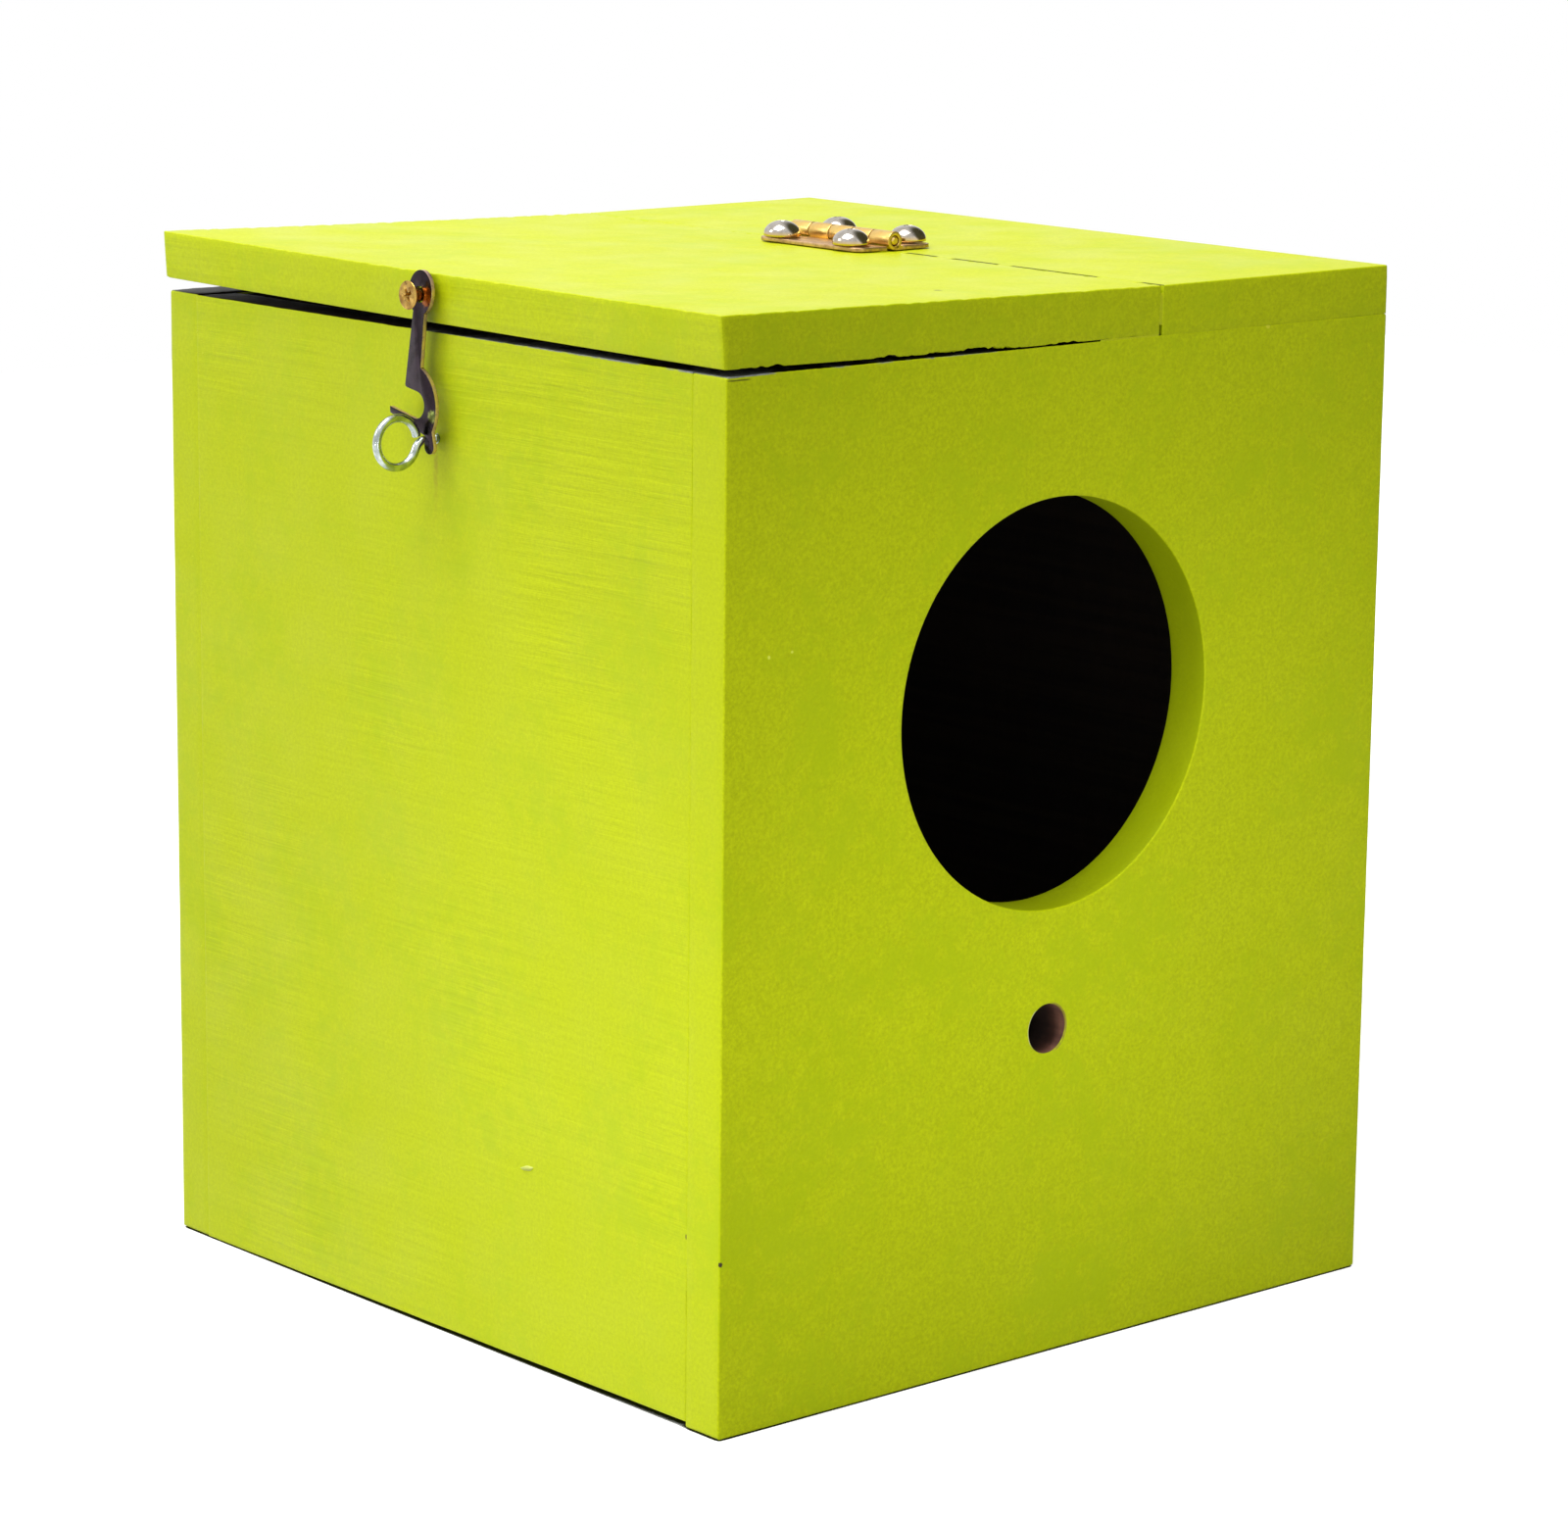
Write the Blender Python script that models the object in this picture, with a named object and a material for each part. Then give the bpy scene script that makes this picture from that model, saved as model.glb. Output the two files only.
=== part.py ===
"""Bird breeding box: a painted board box with a hinged lid, a swan-neck hook and a screw eye.

Units are metres and +Z is up. The origin is the middle of the footprint, on the ground. The entrance hole
faces -Y, the latch is on the -X face, and the lid turns about a line parallel to Y.
"""

import math

import bmesh
import bpy
from mathutils import Matrix, Vector

# Driving dimensions of the box
BOX_WIDTH = 0.211
BOX_DEPTH = 0.214
BOX_HEIGHT = 0.254
BOARD = 0.0115
LID_LENGTH = 0.1333
LID_REST_RISE = 0.0020
SEAT = 0.0003
EDGE_EASE = 0.0004
CUT_OVERRUN = 0.002
WELD_DISTANCE = 0.000001

# Holes of the entrance panel
ENTRANCE_DIAMETER = 0.098
ENTRANCE_HEIGHT = 0.158
ENTRANCE_OFFSET = -0.0034
PERCH_HOLE_DIAMETER = 0.012
PERCH_HOLE_HEIGHT = 0.080
PERCH_HOLE_OFFSET = -0.0044

# Boards of the body
LATCH_PANEL_LIFT = 0.0015
LATCH_PANEL_TOP_DROP = 0.0008

# Nails
NAIL_LENGTH = 0.030
NAIL_SHANK_RADIUS = 0.0008
NAIL_HEAD_RADIUS = 0.0015
NAIL_HEAD_THICKNESS = 0.0008
NAIL_POINT_LENGTH = 0.002
NAIL_SET_DEPTH = 0.0006
NAIL_TOP_MARGIN = 0.030
NAIL_BOTTOM_MARGIN = 0.035
NAIL_SIDE_MARGIN = 0.050
FLOOR_NAIL_SHARE = 0.25
STRIP_NAIL_SHARES = (0.2, 0.7)

# Butt hinge on the top face
HINGE_LENGTH = 0.038
HINGE_OFFSET = 0.005
HINGE_KNUCKLES = 5
LEAF_REACH = 0.0125
LEAF_THICKNESS = 0.0010
LEAF_CORNER_RADIUS = 0.0025
KNUCKLE_GAP = 0.0003
CURL_END_DEGREES = 196.0
PIN_RADIUS = 0.0011
PIN_CLEARANCE = 0.0002
PIN_END_DOME = 0.0004
SEAM_GAP = 0.0007

# Domed screws of the hinge
HINGE_SCREW_REACH = 0.0094
HINGE_SCREW_SPACING = 0.0259
DOME_RADIUS = 0.0047
DOME_HEIGHT = 0.0040
DOME_RIM_HEIGHT = 0.0005
HINGE_SCREW_LENGTH = 0.0095
HINGE_SCREW_RADIUS = 0.0019
HINGE_SCREW_POINT = 0.0025
RECESS_SPAN = 0.0044
RECESS_WIDTH = 0.0012
RECESS_DEPTH = 0.0014
RECESS_FLOOR_SHARE = 0.4

# Latch hook, a stamped plate. Across is measured towards its open side, and down from the pivot
HOOK_THICKNESS = 0.0011
HOOK_STANDOFF = 0.0030
HOOK_LEAN_DEGREES = 9.3
END_HALF_WIDTH = 0.0044
END_HALF_HEIGHT = 0.0053
END_ACROSS = -0.0002
END_DOWN = -0.0005
SHANK_OPEN_SIDE = 0.00165
SHANK_BACK_AT_END = 0.00255
SHANK_BACK_AT_BEND = 0.0034
BEND_RADIUS = 0.0101
BEND_ACROSS = -0.0008
BEND_DOWN = 0.0265
BEND_HEEL_DEGREES = 22.0
NOTCH_RADIUS = 0.0032
NOTCH_ACROSS = -0.0032
NOTCH_DOWN = 0.02565
NOTCH_LIP = 0.00045
JAW_TIP_ACROSS = 0.00654
JAW_RISE = 0.0003
JAW_TIP_WIDTH = 0.00145
JAW_TIP_SLANT = 0.0004
JAW_ROOT_WIDTH = 0.0030
KNOB_RADIUS = 0.00175
KNOB_ACROSS = -0.00985
KNOB_BELOW_CROTCH = 0.0021
KNOB_START_DEGREES = 150.0

# Brass screw that the hook turns on
PIVOT_OFFSET = -0.0016
PIVOT_DEPTH = 0.0049
PIVOT_SHANK_RADIUS = 0.00165
PIVOT_HEAD_RADIUS = 0.0034
PIVOT_HEAD_RIM = 0.0003
PIVOT_CONE_LENGTH = 0.0018
PIVOT_PROUD = 0.0075
PIVOT_SCREW_LENGTH = 0.0280
PIVOT_POINT_LENGTH = 0.004
PIVOT_HOLE_CLEARANCE = 0.0003
PIVOT_RECESS_SPAN = 0.0046
PIVOT_RECESS_WIDTH = 0.0012
PIVOT_RECESS_DEPTH = 0.0014

# Screw eye in the latch side panel
EYE_WIRE_RADIUS = 0.00103
EYE_RING_RADIUS = 0.00575
EYE_RING_CLEARANCE = 0.0003
EYE_SHANK_CLEARANCE = 0.0003
EYE_NECK_RADIUS = 0.0030
EYE_SCREW_DEPTH = 0.0095
EYE_POINT_LENGTH = 0.003
EYE_POINT_SHARE = 0.25
EYE_END_DEGREES = 20.0
EYE_NECK_DEGREES = -20.0

# Fineness of round shapes
HOLE_STEPS = 72
SMALL_HOLE_STEPS = 24
NAIL_STEPS = 8
SCREW_STEPS = 24
DOME_RINGS = 6
KNUCKLE_STEPS = 20
LEAF_CORNER_STEPS = 5
ARC_STEP_DEGREES = 12.0
RING_STEP_DEGREES = 9.0

# Colours as linear red, green and blue
LIME_PAINT = (0.55, 0.70, 0.02)
BRASS = (0.72, 0.50, 0.18)
BRIGHT_PLATE = (0.62, 0.60, 0.56)
ZINC = (0.55, 0.58, 0.56)
DARK_BRONZE = (0.045, 0.033, 0.040)
BARE_STEEL = (0.40, 0.40, 0.40)

# Places that follow from the sizes above
LEFT_FACE = -BOX_WIDTH / 2
RIGHT_FACE = BOX_WIDTH / 2
FRONT_FACE = -BOX_DEPTH / 2
BACK_FACE = BOX_DEPTH / 2
WALL_TOP = BOX_HEIGHT - BOARD - SEAT
INNER_HALF_DEPTH = BOX_DEPTH / 2 - BOARD - SEAT
INNER_HALF_WIDTH = BOX_WIDTH / 2 - BOARD - SEAT
FLOOR_MIDDLE = BOARD / 2
KNUCKLE_RADIUS = PIN_RADIUS + PIN_CLEARANCE + LEAF_THICKNESS
HINGE_AXIS_X = LEFT_FACE + LID_LENGTH
HINGE_AXIS_Z = BOX_HEIGHT + SEAT + KNUCKLE_RADIUS
LEAF_TOP = SEAT + LEAF_THICKNESS
LID_REST_ANGLE = math.atan(LID_REST_RISE / LID_LENGTH)


def clear_scene():
    """Remove whatever the file holds, so that the model starts from nothing."""
    for thing in list(bpy.data.objects):
        bpy.data.objects.remove(thing, do_unlink=True)


def make_material(name, colour, roughness, metallic):
    """Return a Principled material."""
    material = bpy.data.materials.new(name)
    material.use_nodes = True
    surface = material.node_tree.nodes["Principled BSDF"]
    surface.inputs["Base Color"].default_value = (*colour, 1.0)
    surface.inputs["Roughness"].default_value = roughness
    surface.inputs["Metallic"].default_value = metallic
    return material


def painted_board(name):
    """Satin lime paint over board."""
    return make_material(name + "_paint", LIME_PAINT, 0.45, 0.0)


def brass_metal(name):
    """Bright rolled brass."""
    return make_material(name + "_brass", BRASS, 0.30, 1.0)


def bright_metal(name):
    """Polished plating of the domed screws."""
    return make_material(name + "_plate", BRIGHT_PLATE, 0.15, 1.0)


def zinc_metal(name):
    """Zinc plated wire."""
    return make_material(name + "_zinc", ZINC, 0.30, 1.0)


def bronze_metal(name):
    """Dark polished bronze finish."""
    return make_material(name + "_bronze", DARK_BRONZE, 0.22, 1.0)


def steel_metal(name):
    """Bare steel of the nails."""
    return make_material(name + "_steel", BARE_STEEL, 0.40, 1.0)


def add_object(name, mesh_builder, material=None, parent=None, matrix=None):
    """Turn a bmesh into a named object, with its material, parent and place."""
    mesh = bpy.data.meshes.new(name)
    bmesh.ops.recalc_face_normals(mesh_builder, faces=mesh_builder.faces)
    mesh_builder.to_mesh(mesh)
    mesh_builder.free()
    thing = bpy.data.objects.new(name, mesh)
    bpy.context.scene.collection.objects.link(thing)
    if material is not None:
        mesh.materials.append(material)
    if parent is not None:
        thing.parent = parent
    if matrix is not None:
        thing.matrix_local = matrix
    return thing


def add_pivot(name, matrix, parent=None):
    """Add an empty that carries the pieces of one moving group."""
    pivot = bpy.data.objects.new(name, None)
    bpy.context.scene.collection.objects.link(pivot)
    pivot.parent = parent
    pivot.matrix_local = matrix
    return pivot


def box_between(low, high):
    """Return a bmesh box with the given opposite corners."""
    low = Vector(low)
    high = Vector(high)
    builder = bmesh.new()
    size = Matrix.Diagonal((*(high - low), 1.0))
    bmesh.ops.create_cube(builder, size=1.0, matrix=Matrix.Translation((low + high) / 2) @ size)
    return builder


def prism(outline, low, high, frame):
    """Extrude a flat outline of (u, v) points between two levels along w, placed by a frame matrix."""
    builder = bmesh.new()
    bottom = [builder.verts.new(frame @ Vector((u, v, low))) for u, v in outline]
    face = builder.faces.new(bottom)
    lift = frame.to_3x3() @ Vector((0.0, 0.0, high - low))
    grown = bmesh.ops.extrude_face_region(builder, geom=[face])
    top = [item for item in grown["geom"] if isinstance(item, bmesh.types.BMVert)]
    bmesh.ops.translate(builder, vec=lift, verts=top)
    return builder


def turned(profile, steps):
    """Spin a profile of (radius, height) points about Z. The first and last points lie on the axis."""
    builder = bmesh.new()
    points = [builder.verts.new((radius, 0.0, height)) for radius, height in profile]
    edges = [builder.edges.new(pair) for pair in zip(points, points[1:])]
    bmesh.ops.spin(
        builder,
        geom=points + edges,
        cent=(0.0, 0.0, 0.0),
        axis=(0.0, 0.0, 1.0),
        angle=math.tau,
        steps=steps,
    )
    bmesh.ops.remove_doubles(builder, verts=builder.verts, dist=WELD_DISTANCE)
    return builder


def aim(place, direction):
    """Return a matrix that moves a shape to a place and turns its +Z to a direction."""
    turn = Vector((0.0, 0.0, 1.0)).rotation_difference(Vector(direction))
    return Matrix.Translation(place) @ turn.to_matrix().to_4x4()


def arc(centre, radius, start, end, step=ARC_STEP_DEGREES):
    """Return points along an arc, with both ends. Angles are in degrees."""
    count = max(1, round(abs(end - start) / step))
    points = []
    for index in range(count + 1):
        angle = math.radians(start + (end - start) * index / count)
        points.append((centre[0] + radius * math.cos(angle), centre[1] + radius * math.sin(angle)))
    return points


def smooth(thing):
    """Shade a round piece smooth, but keep its corners sharp."""
    thing.data.shade_smooth()
    thing.data.set_sharp_from_angle(angle=math.radians(35.0))


def ease_edges(thing):
    """Round a board's edges slightly, as sanding and paint do."""
    bevel = thing.modifiers.new("Eased edges", "BEVEL")
    bevel.width = EDGE_EASE
    bevel.segments = 1
    bevel.limit_method = "ANGLE"


def cut(thing, cutter, name):
    """Cut one solid out of another, and keep the cutter as a hidden guide."""
    cutter.hide_render = True
    cutter.display_type = "WIRE"
    boolean = thing.modifiers.new(name, "BOOLEAN")
    boolean.operation = "DIFFERENCE"
    boolean.solver = "EXACT"
    boolean.object = cutter


def join(builders):
    """Put several separate solids into one bmesh."""
    whole = bmesh.new()
    for builder in builders:
        part = bpy.data.meshes.new("part")
        builder.to_mesh(part)
        builder.free()
        whole.from_mesh(part)
        bpy.data.meshes.remove(part)
    return whole


def drill(thing, bores, steps, name, parent=None):
    """Drill round holes. Each bore is (start, end, radius), and both ends reach past what is cut."""
    builders = []
    for start, end, radius in bores:
        start = Vector(start)
        end = Vector(end)
        length = (end - start).length
        bit = bmesh.new()
        bmesh.ops.create_cone(
            bit,
            cap_ends=True,
            segments=steps,
            radius1=radius,
            radius2=radius,
            depth=length,
            matrix=aim((start + end) / 2, end - start),
        )
        builders.append(bit)
    cutter = add_object(thing.name + "_" + name, join(builders), parent=parent)
    cut(thing, cutter, name)


def nail_places():
    """Return (outer board, inner board, number, head place, direction) for each nail."""
    places = []
    side_heights = (NAIL_BOTTOM_MARGIN, BOX_HEIGHT / 2, WALL_TOP - NAIL_TOP_MARGIN)
    side_middle = BOX_WIDTH / 2 - BOARD / 2
    floor_reach = BOX_WIDTH * FLOOR_NAIL_SHARE
    for board, face, inward in (("front", FRONT_FACE, 1), ("back", BACK_FACE, -1)):
        for side, x in (("left", -side_middle), ("right", side_middle)):
            for number, height in enumerate(side_heights, 1):
                places.append((board, side, number, (x, face, height), (0, inward, 0)))
        for number, x in enumerate((-floor_reach, floor_reach), 1):
            places.append((board, "floor", number, (x, face, FLOOR_MIDDLE), (0, inward, 0)))
    side_ends = (FRONT_FACE + NAIL_SIDE_MARGIN, BACK_FACE - NAIL_SIDE_MARGIN)
    for board, face, inward in (("left", LEFT_FACE, 1), ("right", RIGHT_FACE, -1)):
        for number, y in enumerate(side_ends, 1):
            places.append((board, "floor", number, (face, y, FLOOR_MIDDLE), (inward, 0, 0)))
    strip_width = RIGHT_FACE - HINGE_AXIS_X
    strip_ends = [HINGE_AXIS_X + strip_width * share for share in STRIP_NAIL_SHARES]
    for board, y in (("front", FRONT_FACE + BOARD / 2), ("back", BACK_FACE - BOARD / 2)):
        for number, x in enumerate(strip_ends, 1):
            places.append(("strip", board, number, (x, y, BOX_HEIGHT), (0, 0, -1)))
    for number, y in enumerate(side_ends, 1):
        places.append(("strip", "right", number, (side_middle, y, BOX_HEIGHT), (0, 0, -1)))
    return places


def nail_bore(head, direction, depth, radius):
    """Return the bore of one nail, from outside its outer board down to a depth under the head's top."""
    head = Vector(head)
    direction = Vector(direction)
    bottom = head + direction * (NAIL_SET_DEPTH + depth + SEAT)
    return head - direction * CUT_OVERRUN, bottom, radius + SEAT


def drill_for_nails(thing, board):
    """Drill a board for the nails that it holds, heads and shanks apart, because the two bores overlap."""
    heads = []
    shanks = []
    for outer, inner, _, head, direction in nail_places():
        if outer == board:
            heads.append(nail_bore(head, direction, NAIL_HEAD_THICKNESS, NAIL_HEAD_RADIUS))
        if board in (outer, inner):
            shanks.append(nail_bore(head, direction, NAIL_LENGTH, NAIL_SHANK_RADIUS))
    if heads:
        drill(thing, heads, NAIL_STEPS, "nail_head_holes")
    drill(thing, shanks, NAIL_STEPS, "nail_shank_holes")


def add_nails():
    """Add every nail, head sunk under the face of the outer board."""
    profile = (
        (0.0, 0.0),
        (NAIL_HEAD_RADIUS, 0.0),
        (NAIL_HEAD_RADIUS, NAIL_HEAD_THICKNESS),
        (NAIL_SHANK_RADIUS, NAIL_HEAD_THICKNESS),
        (NAIL_SHANK_RADIUS, NAIL_LENGTH - NAIL_POINT_LENGTH),
        (0.0, NAIL_LENGTH),
    )
    for outer, inner, number, head, direction in nail_places():
        name = f"nail_{outer}_{inner}_{number}"
        top = Vector(head) + Vector(direction) * NAIL_SET_DEPTH
        nail = add_object(name, turned(profile, NAIL_STEPS), steel_metal(name), matrix=aim(top, direction))
        smooth(nail)


def add_front_panel():
    """Entrance panel: covers the ends of both side panels and of the floor."""
    low = (LEFT_FACE, FRONT_FACE, 0.0)
    high = (RIGHT_FACE, FRONT_FACE + BOARD, WALL_TOP)
    panel = add_object("front_panel", box_between(low, high), painted_board("front_panel"))
    ease_edges(panel)
    outside = FRONT_FACE - CUT_OVERRUN
    inside = FRONT_FACE + BOARD + CUT_OVERRUN
    entrance = (
        (ENTRANCE_OFFSET, outside, ENTRANCE_HEIGHT),
        (ENTRANCE_OFFSET, inside, ENTRANCE_HEIGHT),
        ENTRANCE_DIAMETER / 2,
    )
    perch = (
        (PERCH_HOLE_OFFSET, outside, PERCH_HOLE_HEIGHT),
        (PERCH_HOLE_OFFSET, inside, PERCH_HOLE_HEIGHT),
        PERCH_HOLE_DIAMETER / 2,
    )
    drill(panel, [entrance], HOLE_STEPS, "entrance_hole")
    drill(panel, [perch], SMALL_HOLE_STEPS, "perch_hole")
    drill_for_nails(panel, "front")


def add_back_panel():
    """Plain back panel, built like the entrance panel."""
    low = (LEFT_FACE, BACK_FACE - BOARD, 0.0)
    high = (RIGHT_FACE, BACK_FACE, WALL_TOP)
    panel = add_object("back_panel", box_between(low, high), painted_board("back_panel"))
    ease_edges(panel)
    drill_for_nails(panel, "back")


def add_left_panel(eye):
    """Latch side panel, nailed on slightly askew: its front end is lifted, its top is lower at the back."""
    front = -INNER_HALF_DEPTH
    back = INNER_HALF_DEPTH
    outline = (
        (front, LATCH_PANEL_LIFT),
        (back, 0.0),
        (back, WALL_TOP - LATCH_PANEL_TOP_DROP),
        (front, WALL_TOP),
    )
    sideways = Matrix(((0, 0, 1, 0), (1, 0, 0, 0), (0, 1, 0, 0), (0, 0, 0, 1)))
    builder = prism(outline, LEFT_FACE, LEFT_FACE + BOARD, sideways)
    panel = add_object("left_panel", builder, painted_board("left_panel"))
    ease_edges(panel)
    drill_for_nails(panel, "left")
    mouth = (LEFT_FACE - CUT_OVERRUN, eye.y, eye.z)
    bottom = (LEFT_FACE + EYE_SCREW_DEPTH + SEAT, eye.y, eye.z)
    drill(panel, [(mouth, bottom, EYE_WIRE_RADIUS + SEAT)], SMALL_HOLE_STEPS, "eye_hole")


def add_right_panel():
    """Plain side panel opposite the latch."""
    low = (RIGHT_FACE - BOARD, -INNER_HALF_DEPTH, 0.0)
    high = (RIGHT_FACE, INNER_HALF_DEPTH, WALL_TOP)
    panel = add_object("right_panel", box_between(low, high), painted_board("right_panel"))
    ease_edges(panel)
    drill_for_nails(panel, "right")


def add_floor_panel():
    """Floor, let in between the four walls, level with their lower edges."""
    low = (-INNER_HALF_WIDTH, -INNER_HALF_DEPTH, 0.0)
    high = (INNER_HALF_WIDTH, INNER_HALF_DEPTH, BOARD)
    panel = add_object("floor_panel", box_between(low, high), painted_board("floor_panel"))
    ease_edges(panel)
    drill_for_nails(panel, "floor")


def hinge_screw_offsets():
    """Return the places along Y of the two screws of a leaf."""
    return (HINGE_OFFSET - HINGE_SCREW_SPACING / 2, HINGE_OFFSET + HINGE_SCREW_SPACING / 2)


def hinge_screw_bores(side, surface, radius, origin_x):
    """Return the bores of the two screws on one side of the hinge line, from above the leaf's top."""
    bores = []
    top = surface + LEAF_TOP + CUT_OVERRUN
    bottom = surface + LEAF_TOP - HINGE_SCREW_LENGTH
    for y in hinge_screw_offsets():
        x = origin_x + side * HINGE_SCREW_REACH
        bores.append(((x, y, top), (x, y, bottom), radius))
    return bores


def add_top_strip():
    """Fixed part of the top, nailed down on the front, back and right panels."""
    low = (HINGE_AXIS_X + SEAM_GAP / 2, FRONT_FACE, BOX_HEIGHT - BOARD)
    high = (RIGHT_FACE, BACK_FACE, BOX_HEIGHT)
    strip = add_object("top_strip", box_between(low, high), painted_board("top_strip"))
    ease_edges(strip)
    drill_for_nails(strip, "strip")
    bores = hinge_screw_bores(1, BOX_HEIGHT, HINGE_SCREW_RADIUS + SEAT, HINGE_AXIS_X)
    drill(strip, bores, SMALL_HOLE_STEPS, "hinge_screw_holes")


def add_lid(lid_frame):
    """Lid board. Its frame has its origin on the hinge axis, so the top face lies just under it."""
    surface = BOX_HEIGHT - HINGE_AXIS_Z
    low = (-LID_LENGTH, FRONT_FACE, surface - BOARD)
    high = (-SEAM_GAP / 2, BACK_FACE, surface)
    lid = add_object("lid", box_between(low, high), painted_board("lid"), parent=lid_frame)
    ease_edges(lid)
    bores = hinge_screw_bores(-1, surface, HINGE_SCREW_RADIUS + SEAT, 0.0)
    drill(lid, bores, SMALL_HOLE_STEPS, "hinge_screw_holes", parent=lid_frame)
    mouth = (-LID_LENGTH - CUT_OVERRUN, PIVOT_OFFSET, surface - PIVOT_DEPTH)
    depth = PIVOT_SCREW_LENGTH - PIVOT_PROUD + SEAT
    bottom = (-LID_LENGTH + depth, PIVOT_OFFSET, surface - PIVOT_DEPTH)
    drill(lid, [(mouth, bottom, PIVOT_SHANK_RADIUS + SEAT)], SMALL_HOLE_STEPS, "pivot_hole", parent=lid_frame)


def leaf_outline(side):
    """Return the end view of a rolled leaf as (x, z) points, with the pin axis at the origin."""
    bottom = -KNUCKLE_RADIUS
    step = 360.0 / KNUCKLE_STEPS
    outer = arc((0.0, 0.0), KNUCKLE_RADIUS, -90.0, CURL_END_DEGREES, step)
    inner = arc((0.0, 0.0), PIN_RADIUS + PIN_CLEARANCE, CURL_END_DEGREES, -90.0, step)
    curl = [(-LEAF_REACH, bottom)] + outer + inner + [(-LEAF_REACH, bottom + LEAF_THICKNESS)]
    return [(-side * x, z) for x, z in curl]


def round_leaf_corners(leaf):
    """Round the two outer corners of a leaf's plate."""
    mesh = leaf.data
    weights = mesh.attributes.new("bevel_weight_edge", "FLOAT", "EDGE")
    for edge in mesh.edges:
        first, last = [mesh.vertices[index].co for index in edge.vertices]
        outer = min(abs(first.x), abs(last.x)) > LEAF_REACH - WELD_DISTANCE
        if outer and abs(first.y - last.y) < WELD_DISTANCE:
            weights.data[edge.index].value = 1.0
    bevel = leaf.modifiers.new("Round corners", "BEVEL")
    bevel.width = LEAF_CORNER_RADIUS
    bevel.segments = LEAF_CORNER_STEPS
    bevel.limit_method = "WEIGHT"


def add_leaf(name, side, frame, fixed_knuckles):
    """Add one leaf of the hinge: a plate rolled around the pin, with every other knuckle cut away."""
    start = HINGE_OFFSET - HINGE_LENGTH / 2
    upright = Matrix(((1, 0, 0, 0), (0, 0, 1, 0), (0, 1, 0, 0), (0, 0, 0, 1)))
    builder = prism(leaf_outline(side), start, start + HINGE_LENGTH, upright)
    leaf = add_object(name, builder, brass_metal(name), parent=frame)
    round_leaf_corners(leaf)
    pitch = HINGE_LENGTH / HINGE_KNUCKLES
    reach = KNUCKLE_RADIUS + SEAT
    slots = []
    for index in range(HINGE_KNUCKLES):
        if (index % 2 == 0) == fixed_knuckles:
            continue
        low_end = start + index * pitch - KNUCKLE_GAP / 2
        high_end = start + (index + 1) * pitch + KNUCKLE_GAP / 2
        if index == 0:
            low_end -= CUT_OVERRUN
        if index == HINGE_KNUCKLES - 1:
            high_end += CUT_OVERRUN
        slots.append(box_between((-reach, low_end, -reach), (reach, high_end, reach)))
    cut(leaf, add_object(name + "_slots", join(slots), parent=frame), "knuckle_slots")
    bores = hinge_screw_bores(side, BOX_HEIGHT - HINGE_AXIS_Z, HINGE_SCREW_RADIUS + SEAT, 0.0)
    drill(leaf, bores, SMALL_HOLE_STEPS, "screw_holes", parent=frame)
    smooth(leaf)


def add_hinge_pin(frame):
    """Add the pin through the knuckles, with slightly domed ends."""
    half = HINGE_LENGTH / 2
    profile = (
        (0.0, -half),
        (PIN_RADIUS - PIN_END_DOME, -half),
        (PIN_RADIUS, PIN_END_DOME - half),
        (PIN_RADIUS, half - PIN_END_DOME),
        (PIN_RADIUS - PIN_END_DOME, half),
        (0.0, half),
    )
    place = aim((0.0, HINGE_OFFSET, 0.0), (0.0, 1.0, 0.0))
    pin = add_object("hinge_pin", turned(profile, SCREW_STEPS), brass_metal("hinge_pin"), frame, place)
    smooth(pin)


def cross_outline(span, width):
    """Return the twelve corners of a cross."""
    tip = span / 2
    side = width / 2
    arm = [(tip, -side), (tip, side), (side, side)]
    outline = []
    for turn in range(4):
        angle = math.pi / 2 * turn
        rotation = Matrix.Rotation(angle, 2)
        outline += [tuple(rotation @ Vector(corner)) for corner in arm]
    return outline


def recess(thing, span, width, depth, top, frame, matrix):
    """Cut a cross recess into a screw head. It narrows towards its bottom."""
    flat = Matrix.Identity(4)
    builder = prism(cross_outline(span, width), top - depth, top + depth, flat)
    floor = [vert for vert in builder.verts if vert.co.z < top]
    narrow = Vector((RECESS_FLOOR_SHARE, RECESS_FLOOR_SHARE, 1.0))
    bmesh.ops.scale(builder, vec=narrow, verts=floor)
    cutter = add_object(thing.name + "_recess", builder, parent=frame, matrix=matrix)
    cut(thing, cutter, "cross_recess")


def add_domed_screw(name, x, y, surface, frame):
    """Add one domed screw. Its own origin is under the head, on the leaf."""
    curve = []
    for index in range(DOME_RINGS + 1):
        angle = math.pi / 2 * index / DOME_RINGS
        rise = (DOME_HEIGHT - DOME_RIM_HEIGHT) * math.sin(angle)
        curve.append((DOME_RADIUS * math.cos(angle), DOME_RIM_HEIGHT + rise))
    curve[-1] = (0.0, DOME_HEIGHT)
    tip = -HINGE_SCREW_LENGTH
    profile = [
        (0.0, tip),
        (HINGE_SCREW_RADIUS, tip + HINGE_SCREW_POINT),
        (HINGE_SCREW_RADIUS, 0.0),
        (DOME_RADIUS, 0.0),
    ]
    place = Matrix.Translation((x, y, surface + LEAF_TOP + SEAT))
    screw = add_object(name, turned(profile + curve, SCREW_STEPS), bright_metal(name), frame, place)
    recess(screw, RECESS_SPAN, RECESS_WIDTH, RECESS_DEPTH, DOME_HEIGHT, frame, place)
    smooth(screw)


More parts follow.
